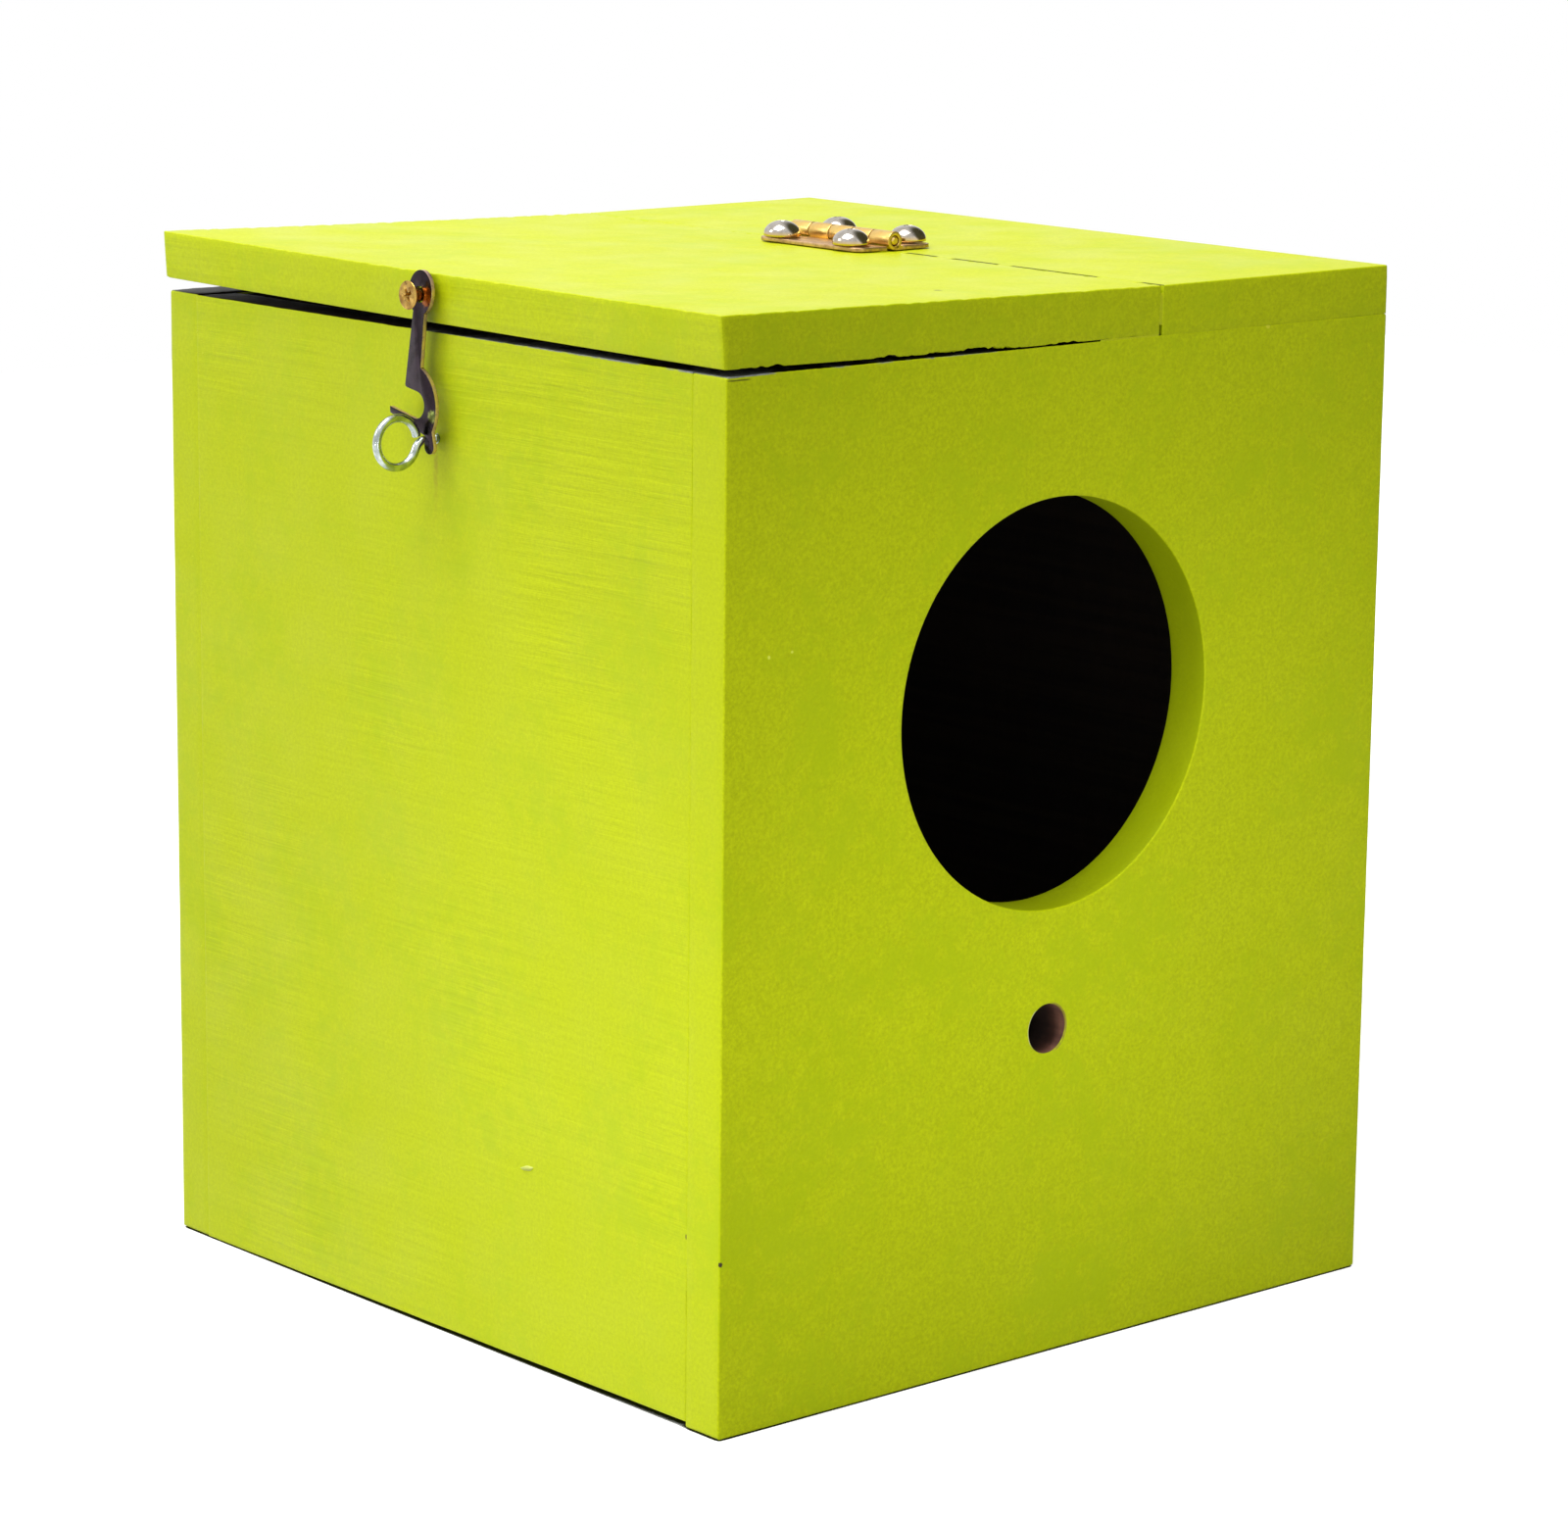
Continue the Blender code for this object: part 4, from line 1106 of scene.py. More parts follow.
@dataclass
class Plate:
    """A flat plate with rounded rims, drawn in (across, up, out). Its shown face lies at out 0.

    Attributes:
        width: its size across.
        height: its size up.
        thickness: how far it reaches behind its face.
        corners: corner radii, from low left counterclockwise.
        face_rim: how far the rim of the shown face is rounded.
        back_rim: how far the rim of the back is rounded.
        step: the spacing of points along the rim.
        grid: the spacing of points in the faces.
        holes: its holes.
        face_share: what share of face_rim a place on the rim gets.
        back_share: what share of back_rim a place on the rim gets.
        shape: moves each point to where it ends up.
        corner_steps: how many steps a rounded corner takes.
        rim_steps: how many steps a rounded rim takes.
        wall_rows: how many rows of faces its straight rim has.
        margin: how far a face's first ring lies inside its rounded rim.
    """

    width: float
    height: float
    thickness: float
    corners: tuple[float, float, float, float] = (0.0007, 0.0007, 0.0007, 0.0007)
    face_rim: float = 0.0006
    back_rim: float = 0.0004
    step: float = 0.0015
    grid: float = 0.006
    holes: tuple[Hole, ...] = ()
    face_share: Callable[[float, float], float] = full
    back_share: Callable[[float, float], float] = full
    shape: Callable[[Vector], Vector] = as_cut
    corner_steps: int = 5
    rim_steps: int = 4
    wall_rows: int = 4
    margin: float = 0.0005

    def rim_table(self) -> list[tuple[int, float, bool]]:
        """Return (side number, share along it, whether it is the corner after it) for each rim point."""
        table = []
        for side, length in enumerate((self.width, self.height, self.width, self.height)):
            count = max(1, math.ceil(length / self.step))
            table += [(side, index / count, False) for index in range(count + 1)]
            table += [(side, index / self.corner_steps, True) for index in range(1, self.corner_steps)]
        return table

    def rim_point(self, entry: tuple[int, float, bool], inset: float) -> tuple[float, float]:
        """Return a point of the rim, drawn in by a distance.

        Args:
            entry: one row of the rim's table.
            inset: how far it is drawn in.

        Returns:
            Its place across and up.
        """
        side, share, is_corner = entry
        half_u = self.width / 2 - inset
        half_v = self.height / 2 - inset
        radii = [max(radius - inset, radius * 0.1) for radius in self.corners]
        signs = ((-1, -1), (1, -1), (1, 1), (-1, 1))
        centres = [(su * (half_u - r), sv * (half_v - r)) for (su, sv), r in zip(signs, radii)]
        if is_corner:
            corner = (side + 1) % 4
            turn = math.radians(90.0 * (side - 1 + share))
            radius = radii[corner]
            return centres[corner][0] + radius * math.cos(turn), centres[corner][1] + radius * math.sin(turn)
        last = (side + 1) % 4
        if side % 2 == 0:
            level = -half_v if side == 0 else half_v
            return centres[side][0] + (centres[last][0] - centres[side][0]) * share, level
        reach = half_u if side == 1 else -half_u
        return reach, centres[side][1] + (centres[last][1] - centres[side][1]) * share

    def profile(self, face_rim: float, back_rim: float) -> list[tuple[float, float, int]]:
        """Return (inset, out, zone) down the rim. Zone 0 is the face, 1 the rim and 2 the back.

        Args:
            face_rim: how far the shown rim is rounded here.
            back_rim: how far the back's rim is rounded here.

        Returns:
            The stations.
        """
        turns = [math.pi / 2 * index / self.rim_steps for index in range(self.rim_steps + 1)]
        stations = [(self.face_rim + self.margin, 0.0, 0)]
        stations += [(face_rim * (1 - math.sin(a)), -face_rim * (1 - math.cos(a)), 0) for a in turns[:-1]]
        stations.append((0.0, -face_rim, 1))
        depth = self.thickness - face_rim - back_rim
        for row in range(1, self.wall_rows):
            stations.append((0.0, -face_rim - depth * row / self.wall_rows, 1))
        for a in reversed(turns):
            stations.append((back_rim * (1 - math.sin(a)), back_rim * (1 - math.cos(a)) - self.thickness, 1))
        stations.append((self.back_rim + self.margin, -self.thickness, 2))
        return stations

    def mouth(self, hole: Hole, material: int) -> float:
        """Return the radius inside which a face of the plate is open.

        Args:
            hole: the hole.
            material: 0 for the shown face, 2 for the back.

        Returns:
            The radius of the ring's flats.
        """
        rim = hole.face_rim if material == 0 else hole.back_rim
        return (hole.radius + rim + self.margin) * math.cos(math.pi / hole.steps)

    def fill(self, builder: bmesh.types.BMesh, rings: list, flat: list, material: int) -> None:
        """Close a face of the plate between its rim and its holes.

        Args:
            builder: the mesh that is built.
            rings: the points of the rim and of each hole.
            flat: the same points as (across, up).
            material: the face's material number.
        """
        points = [Vector(spot) for ring in flat for spot in ring]
        verts = [vert for ring in rings for vert in ring]
        edges = []
        for ring in flat:
            first = sum(len(other) for other in flat[: flat.index(ring)])
            edges += [(first + index, first + (index + 1) % len(ring)) for index in range(len(ring))]
        out = 0.0 if material == 0 else -self.thickness
        inside = self.grid * RIM_CLEARANCE + self.face_rim + self.margin
        columns = int((self.width - 2 * inside) / self.grid)
        rows = int((self.height - 2 * inside) / self.grid)
        gap = self.margin + self.grid * HOLE_CLEARANCE
        clear = [(hole, hole.radius + max(hole.face_rim, hole.back_rim) + gap) for hole in self.holes]
        for column in range(columns + 1):
            for row in range(rows + 1):
                spot = Vector((
                    (column / max(columns, 1) - 0.5) * (self.width - 2 * inside),
                    (row / max(rows, 1) - 0.5) * (self.height - 2 * inside),
                ))
                if all((spot - Vector((hole.across, hole.up))).length > reach for hole, reach in clear):
                    points.append(spot)
                    verts.append(builder.verts.new(self.shape(Vector((spot.x, spot.y, out)))))
        found = delaunay_2d_cdt(points, edges, [], 0, SAME_PLACE)
        places, triangles, origins = found[0], found[2], found[3]
        for triangle in triangles:
            middle = sum((places[index] for index in triangle), Vector((0.0, 0.0))) / 3
            if any((middle - Vector((h.across, h.up))).length < self.mouth(h, material) for h in self.holes):
                continue
            corners = [verts[origins[index][0]] for index in triangle]
            face = builder.faces.new(corners)
            face.material_index = material
            face.smooth = True

    def build(self) -> bmesh.types.BMesh:
        """Return the closed plate. Material 0 is its shown face, 1 its rim, 2 its back."""
        builder = bmesh.new()
        table = self.rim_table()
        stations = [
            self.profile(self.face_rim * self.face_share(*spot), self.back_rim * self.back_share(*spot))
            for spot in (self.rim_point(entry, 0.0) for entry in table)
        ]
        rings = []
        flats = []
        for number in range(len(stations[0])):
            ring = []
            flat = []
            for entry, rows in zip(table, stations):
                inset, out, _ = rows[number]
                spot = self.rim_point(entry, inset)
                flat.append(spot)
                ring.append(builder.verts.new(self.shape(Vector((*spot, out)))))
            rings.append(ring)
            flats.append(flat)
        zones = [station[2] for station in stations[0]]
        for number in range(len(rings) - 1):
            ring_of_faces(builder, rings[number], rings[number + 1], zones[number])
        front = ([rings[0]], [flats[0]])
        back = ([rings[-1]], [flats[-1]])
        for hole in self.holes:
            self.bore(builder, hole, front, back)
        self.fill(builder, front[0], front[1], 0)
        self.fill(builder, back[0], back[1], 2)
        bmesh.ops.recalc_face_normals(builder, faces=builder.faces)
        return builder

    def bore(self, builder: bmesh.types.BMesh, hole: Hole, front: tuple, back: tuple) -> None:
        """Add the wall of a hole.

        Args:
            builder: the mesh that is built.
            hole: the hole.
            front: the rings that bound the shown face, which get the hole's.
            back: the rings that bound the back, which get the hole's.
        """
        rings = []
        flats = []
        stations = self.profile(hole.face_rim, hole.back_rim)
        stations[0] = (hole.face_rim + self.margin, 0.0, 0)
        stations[-1] = (hole.back_rim + self.margin, -self.thickness, 2)
        for inset, out, _ in stations:
            flat = circle_points(hole.radius + inset, hole.steps, (hole.across, hole.up))
            flats.append(flat)
            rings.append([builder.verts.new(self.shape(Vector((*spot, out)))) for spot in flat])
        for number in range(len(rings) - 1):
            zone = stations[number][2]
            ring_of_faces(builder, rings[number], rings[number + 1], hole.wall if zone == 1 else zone)
        front[0].append(rings[0])
        front[1].append(flats[0])
        back[0].append(rings[-1])
        back[1].append(flats[-1])


@dataclass(frozen=True)
class BoxSizes:
    """Sizes that the sub-assemblies share."""

    width: float = 0.211
    depth: float = 0.214
    height: float = 0.254
    board: float = 0.0115
    seat: float = 0.0003
    lid_length: float = 0.1333
    lid_rise: float = 0.0020
    seam: float = 0.0007
    axis_rise: float = 0.0026

    @property
    def wall_top(self) -> float:
        """Height of the walls."""
        return self.height - self.board - self.seat

    @property
    def axis(self) -> Vector:
        """Where the lid's hinge axis crosses the middle of the box."""
        return Vector((self.lid_length - self.width / 2, 0.0, self.height + self.axis_rise))

    @property
    def lid_matrix(self) -> Matrix:
        """The lid's frame at rest, with its origin on the hinge axis."""
        turn = math.atan(self.lid_rise / self.lid_length)
        return Matrix.Translation(self.axis) @ Matrix.Rotation(turn, 4, "Y")


def facing(across: Colour, up: Colour, out: Colour, place: Colour) -> Matrix:
    """Return the matrix of a plate from the directions of its own axes and its middle."""
    return Matrix.Translation(place) @ Matrix((across, up, out)).transposed().to_4x4()


def mark_shaded_front(builder: bmesh.types.BMesh, material: int) -> None:
    """Give the faces that look out of the entrance side a material of their own, a darker copy of the coat as
    painted shade.

    Args:
        builder: the mesh, in the frame of the parts.
        material: the material's number.
    """
    builder.normal_update()
    for face in builder.faces:
        if face.normal.y < -0.7:
            face.material_index = material


def shaded_front_end_paint(name: str, shade: float) -> LimePaint:
    """Return the paint on a sawn board end of the entrance side, a copy of the coat drawn darker as painted
    shade, by its name and how light it is drawn.
    """
    return LimePaint(name, stroke_share=0.35, peel_share=0.9, grain_share=2.3, sheen=0.10, shade=shade)


def top_paint(name: str, sizes: BoxSizes, marks: Marks = ()) -> LimePaint:
    """Return the paint of the top face, drawn with painted light, with the seam between the lid and the strip
    drawn as painted shade in dark dashes.

    Args:
        name: the finish's name.
        sizes: the shared sizes.
        marks: small marks on it.

    Returns:
        The finish.
    """
    # Painted shade: the gap of the seam is drawn as dark dashes on the coat, wider than the gap itself.
    seam_shade_dashes = ((-0.1080, -0.0998), (-0.0850, -0.0553), (-0.0508, -0.0346), (-0.0290, -0.0182))
    seam = tuple(
        JointLine(0, sizes.axis.x, 1, low, high, 0.00105, 0.10, 0.95, (0.030, 0.032, 0.008))
        for low, high in seam_shade_dashes
    )
    face = LimePaint(name, Stroke.ALONG_DEPTH, 0.15, 0.6, shade=TOP_SHADE, warmth=TOP_WARMTH)
    return replace(face, joints=seam, marks=marks)


@dataclass
class Carcass:
    """The walls, floor and fixed top strip of the box, as boards under paint.

    Attributes:
        sizes: the shared sizes.
        rim: how far sanding and paint have rounded a free edge.
        top_rim: how far an edge under the lid is rounded, as a share of that.
        joint_rim: how far a painted-over joint is rounded, as a share of that.
        groove_rim: how far a joint that still shows is rounded, as a share of that.
        inner_rim: how far an edge inside the box is rounded, as a share of a plate's own.
        groove_height: how far up the corner joints still show.
        bead: how thick the paint stands on the near corner's upper rim.
        bead_reach: how far down from the rim it stands.
        lift: how far the latch panel's near end stands off the ground.
        top_drop: how far its top sinks towards the back.
        chip: how deep the ragged upper rims are.
        chip_reach: how far down from the rim they are ragged.
        wave: how far the edges wander.
        worn_end: where along X the rubbed upper rim of the entrance panel ends.
        entrance_radius: the radius of the entrance.
        entrance_place: its middle, along X and Z.
        perch_radius: the radius of the perch's hole.
        perch_place: its middle, along X and Z.
    """

    sizes: BoxSizes
    rim: float = 0.0004
    top_rim: float = 0.5
    joint_rim: float = 0.05
    groove_rim: float = 0.06
    inner_rim: float = 0.3
    groove_height: float = 0.075
    bead: float = 0.0003
    bead_reach: float = 0.003
    lift: float = 0.0015
    top_drop: float = 0.0003
    chip: float = 0.00015
    chip_reach: float = 0.0012
    wave: float = 0.00010
    worn_end: float = -0.024
    entrance_radius: float = 0.049
    entrance_place: tuple[float, float] = (-0.0034, 0.158)
    perch_radius: float = 0.006
    perch_place: tuple[float, float] = (-0.0044, 0.080)

    def waved(self, point: Vector, half_u: float, half_v: float, top_chip: bool) -> Vector:
        """Draw a point near the rim in a little, so that the edges aren't dead straight.

        Args:
            point: the point on the plate.
            half_u: half the plate's width.
            half_v: half its height.
            top_chip: whether the upper rim is ragged.

        Returns:
            The moved point.
        """
        moved = point.copy()
        shift = self.wave * soft_noise(point + Vector((half_u, 0.3, 0.7)), 70.0)
        if abs(point.x) > half_u - BORDER:
            moved.x -= math.copysign(shift, point.x)
        if abs(point.y) > half_v - BORDER:
            moved.y -= math.copysign(shift, point.y)
        if top_chip and point.y > half_v - self.chip_reach:
            coarse = soft_noise(point + Vector((1.7, 0.0, half_u)), 160.0)
            fine = soft_noise(point + Vector((0.0, 2.9, half_u)), 900.0)
            moved.y -= self.chip * max(0.0, coarse * 0.7 + fine * 0.6 - 0.45)
        return moved

    def low_joint(self, up: float, half_v: float) -> float:
        """Return the rounding of a corner joint, which only shows near the ground."""
        return self.groove_rim if up + half_v < self.groove_height else self.joint_rim

    def dress(
        self, name: str, plate: Plate, matrix: Matrix, finishes: Sequence[Finish], nodes: Sequence[str]
    ) -> None:
        """Build one board and put it in place.

        Args:
            name: the piece's name.
            plate: its shape.
            matrix: where it goes.
            finishes: for its face, its rim, its back, and any further zone.
            nodes: the CAD nodes that it stands for.
        """
        builder = plate.build()
        bmesh.ops.transform(builder, matrix=matrix, verts=builder.verts)
        if name == "top_strip_painted":
            mark_shaded_front(builder, len(finishes) - 1)
        mesh = to_mesh(builder, name, [finish.material() for finish in finishes])
        new_piece(name, mesh, "box", nodes)

    @staticmethod
    def nails(board: str, **counts: int) -> list[str]:
        """Return the names of the nails that a board covers, from their count at each other board."""
        return [f"nail_{board}_{name}_{n}" for name, count in counts.items() for n in range(1, count + 1)]

    def front(self) -> None:
        """Build the entrance panel with its two holes."""
        s = self.sizes
        half_u, half_v = s.width / 2, s.wall_top / 2
        seam_x = s.axis.x

        def face_share(across: float, up: float) -> float:
            """Return what share of the shown rim's rounding a place gets."""
            if up < half_v - EDGE:
                return 1.0
            return self.joint_rim if across > self.worn_end else self.top_rim

        def back_share(across: float, up: float) -> float:
            """Return what share of the back rim's rounding a place gets."""
            return self.low_joint(up, half_v) if abs(across) > half_u - EDGE else self.inner_rim

        def shape(point: Vector) -> Vector:
            """Return where a point of the plate ends up."""
            moved = self.waved(point, half_u, half_v, point.x < seam_x)
            if point.y > half_v - self.bead_reach:
                moved.y += self.bead * max(0.0, (seam_x - point.x) / (seam_x + half_u))
            return moved

        entrance, perch = self.entrance_place, self.perch_place
        holes = (
            Hole(entrance[0], entrance[1] - half_v, self.entrance_radius, 0.0004, 0.0004, 144, 4),
            Hole(perch[0], perch[1] - half_v, self.perch_radius, 0.00035, 0.0002, 48, 3),
        )
        plate = Plate(s.width, s.wall_top, s.board, face_rim=self.rim, step=0.0008, holes=holes)
        plate = replace(plate, face_share=face_share, back_share=back_share, shape=shape)
        rolled = LimePaint(
            "lime_paint_rolled",
            stroke_share=0.35,
            peel_share=0.9,
            grain_share=2.3,
            sheen=0.10,
            worn_height=s.wall_top + 0.5 * self.bead,
            worn_end=self.worn_end,
            joints=(JointLine(2, 0.2416, 0, -0.1050, -0.0990, 0.00022, 0.25, 0.8, (0.11, 0.11, 0.01)),),
            rubbed_ring=((perch[0], -s.depth / 2, perch[1]), self.perch_radius + 0.0002),
            marks=(
                ((-0.0925, -0.107, 0.1792), 0.0005, (0.80, 0.88, 0.10)),
                ((-0.0858, -0.107, 0.1797), 0.0004, (0.80, 0.88, 0.10)),
                ((0.0638, -0.107, 0.2419), 0.0007, (0.72, 0.75, 0.04)),
                ((0.0176, -0.1045, 0.1141), 0.0010, (0.10, 0.09, 0.03)),
                ((-0.1053, -0.107, 0.0416), 0.0007, (0.05, 0.04, 0.02)),
            ),
        )
        # The perch hole's bare wall; its last pair is painted shade that darkens it deeper in.
        bored = BareBoard("bored_board", (0.085, 0.034, 0.022), (0.27, 0.115, 0.075), (-0.1058, -0.0994))
        # Painted light: the entrance's wall is drawn darker for its shade, and greener for the bounce light
        # inside the hole.
        wall = LimePaint("lime_paint_bore", Stroke.ROLLED, 0.5, 0.9, 2.0, shade=0.85, bounce_green=0.6)
        finishes = (rolled, self.end_paint(), BareBoard("bare_board_wide", grain=WIDE_GRAIN), bored, wall)
        matrix = facing((1, 0, 0), (0, 0, 1), (0, -1, 0), (0.0, -s.depth / 2, half_v))
        nodes = ["front_panel", *self.nails("front", left=3, right=3, floor=2)]
        self.dress("front_panel_painted", plate, matrix, finishes, nodes)

    def end_paint(self) -> LimePaint:
        """Return the paint on the sawn ends, which is a little smoother."""
        worn = self.sizes.wall_top + 0.7 * self.bead
        return LimePaint("lime_paint_ends", Stroke.ALONG_DEPTH, 0.2, worn_height=worn, worn_end=self.worn_end)

    def side(self, step: float, face_share: Callable, shape: Callable) -> Plate:
        """Return the board of a side panel, which sits between the front and the back.

        Args:
            step: the spacing of points along its rim.
            face_share: how far its shown rim is rounded at a place, as a share of the whole.
            shape: moves each point to where it ends up.

        Returns:
            The board.
        """
        s = self.sizes
        inner = s.depth / 2 - s.board
        corners = (SQUARE_CORNER,) * 4
        plate = Plate(2 * inner, s.wall_top, s.board, corners, face_rim=self.rim, step=step)
        return replace(plate, face_share=face_share, back_share=lambda u, v: self.inner_rim, shape=shape)

    def latch_side(self) -> None:
        """Build the latch panel, nailed on slightly askew."""
        s = self.sizes
        inner, half_v = s.depth / 2 - s.board, s.wall_top / 2

        def face_share(across: float, up: float) -> float:
            """Return what share of the shown rim's rounding a place gets."""
            return self.low_joint(up, half_v) if abs(across) > inner - EDGE else self.top_rim

        def shape(point: Vector) -> Vector:
            """Return where a point of the plate ends up."""
            moved = self.waved(point, inner, half_v, True)
            moved.x = point.x
            near = (point.x + inner) / (2 * inner)
            share = (point.y + half_v) / (2 * half_v)
            moved.y += self.lift * near * (1 - share) - self.top_drop * (1 - near) * share
            if point.y > half_v - self.bead_reach:
                moved.y += self.bead * near
            return moved

        brushed = LimePaint(
            "lime_paint_brushed",
            Stroke.ALONG_DEPTH,
            0.6,
            worn_height=s.wall_top + 0.4 * self.bead,
            joints=(
                JointLine(1, -inner, 2, 0.0, self.groove_height, 0.00025, 0.55, 0.10),
                JointLine(1, inner, 2, 0.0, s.height, 0.00022, 0.58, 0.15),
            ),
            streak=True,
            marks=(((-0.1055, -0.0955, 0.0455), 0.0007, (0.24, 0.27, 0.02)),),
        )
        matrix = facing((0, -1, 0), (0, 0, 1), (-1, 0, 0), (-s.width / 2, 0.0, half_v))
        nodes = ["left_panel", *self.nails("left", floor=2)]
        finishes = (brushed, brushed, BareBoard("bare_board"))
        self.dress("latch_panel_painted", self.side(0.0008, face_share, shape), matrix, finishes, nodes)

    def far_side(self) -> None:
        """Build the side panel opposite the latch."""
        s = self.sizes
        inner, half_v = s.depth / 2 - s.board, s.wall_top / 2

        def face_share(across: float, up: float) -> float:
            """Return what share of the shown rim's rounding a place gets."""
            if up > half_v - EDGE:
                return self.joint_rim
            return self.low_joint(up, half_v) if abs(across) > inner - EDGE else 1.0

        plate = self.side(0.002, face_share, lambda p: self.waved(p, inner, half_v, False))
        joints = tuple(
            JointLine(1, place, 2, 0.0, s.height, 0.00022, 0.52, 0.25)
            for place in (-inner, inner)
        )
        brushed = LimePaint("lime_paint_brushed_far", Stroke.ALONG_DEPTH, 0.8, 0.45, joints=joints)
        matrix = facing((0, 1, 0), (0, 0, 1), (1, 0, 0), (s.width / 2, 0.0, half_v))
        nodes = ["right_panel", *self.nails("right", floor=2)]
        self.dress("far_panel_painted", plate, matrix, (brushed, brushed, BareBoard("bare_board")), nodes)

    def back(self) -> None:
        """Build the back panel."""
        s = self.sizes
        half_u, half_v = s.width / 2, s.wall_top / 2
        seam_x = s.axis.x
        plate = Plate(
            s.width,
            s.wall_top,
            s.board,
            face_rim=self.rim,
            step=0.0015,
            face_share=lambda u, v: self.joint_rim if v > half_v - EDGE and -u > seam_x else 1.0,
            back_share=lambda u, v: self.low_joint(v, half_v) if abs(u) > half_u - EDGE else self.inner_rim,
            shape=lambda p: self.waved(p, half_u, half_v, -p.x < seam_x),
        )
        brushed = LimePaint(
            "lime_paint_brushed_back", Stroke.ALONG_WIDTH, 0.8, worn_height=s.wall_top, worn_end=seam_x
        )
        matrix = facing((-1, 0, 0), (0, 0, 1), (0, 1, 0), (0.0, s.depth / 2, half_v))
        finishes = (brushed, self.end_paint(), BareBoard("bare_board_wide", grain=WIDE_GRAIN))
        nodes = ["back_panel", *self.nails("back", left=3, right=3, floor=2)]
        self.dress("back_panel_painted", plate, matrix, finishes, nodes)

    def floor(self) -> None:
        """Build the bare floor between the walls."""
        s = self.sizes
        width, depth = s.width - 2 * s.board, s.depth - 2 * s.board
        plate = Plate(width, depth, s.board - 0.0002, face_rim=0.0003, back_rim=0.0003, step=0.004)
        matrix = Matrix.Translation((0.0, 0.0, s.board))
        self.dress("floor_board_bare", plate, matrix, (BareBoard("bare_board"),) * 3, ["floor_panel"])

    def strip(self) -> None:
        """Build the fixed part of the top, painted over on the walls."""
        s = self.sizes
        start = s.axis.x + s.seam / 2
        half_u, half_v = (s.width / 2 - start) / 2, s.depth / 2
        plate = Plate(
            2 * half_u,
            s.depth,
            s.board + s.seat,
            corners=(0.0002, 0.0006, 0.0006, 0.0002),
            face_rim=self.rim,
            step=0.0012,
            face_share=lambda u, v: self.inner_rim if u < EDGE - half_u else 1.0,
            back_share=lambda u, v: 0.5 if u < EDGE - half_u else self.joint_rim,
            shape=lambda p: self.waved(p, half_u, half_v, False) if p.z > -BORDER else p,
        )
        matrix = Matrix.Translation((start + half_u, 0.0, s.height))
        ends = LimePaint("lime_paint_strip_ends", Stroke.ROLLED, 0.35, 0.8)
        nodes = ["top_strip", *self.nails("strip", front=2, back=2, right=2)]
        top, end = top_paint("lime_paint_top", s), shaded_front_end_paint("lime_paint_strip_front", 0.96)
        self.dress("top_strip_painted", plate, matrix, (top, ends, BareBoard("bare_board"), end), nodes)

    def build(self) -> None:
        """Build every board of the box."""
        for board in (self.front, self.latch_side, self.far_side, self.back, self.floor, self.strip):
            board()


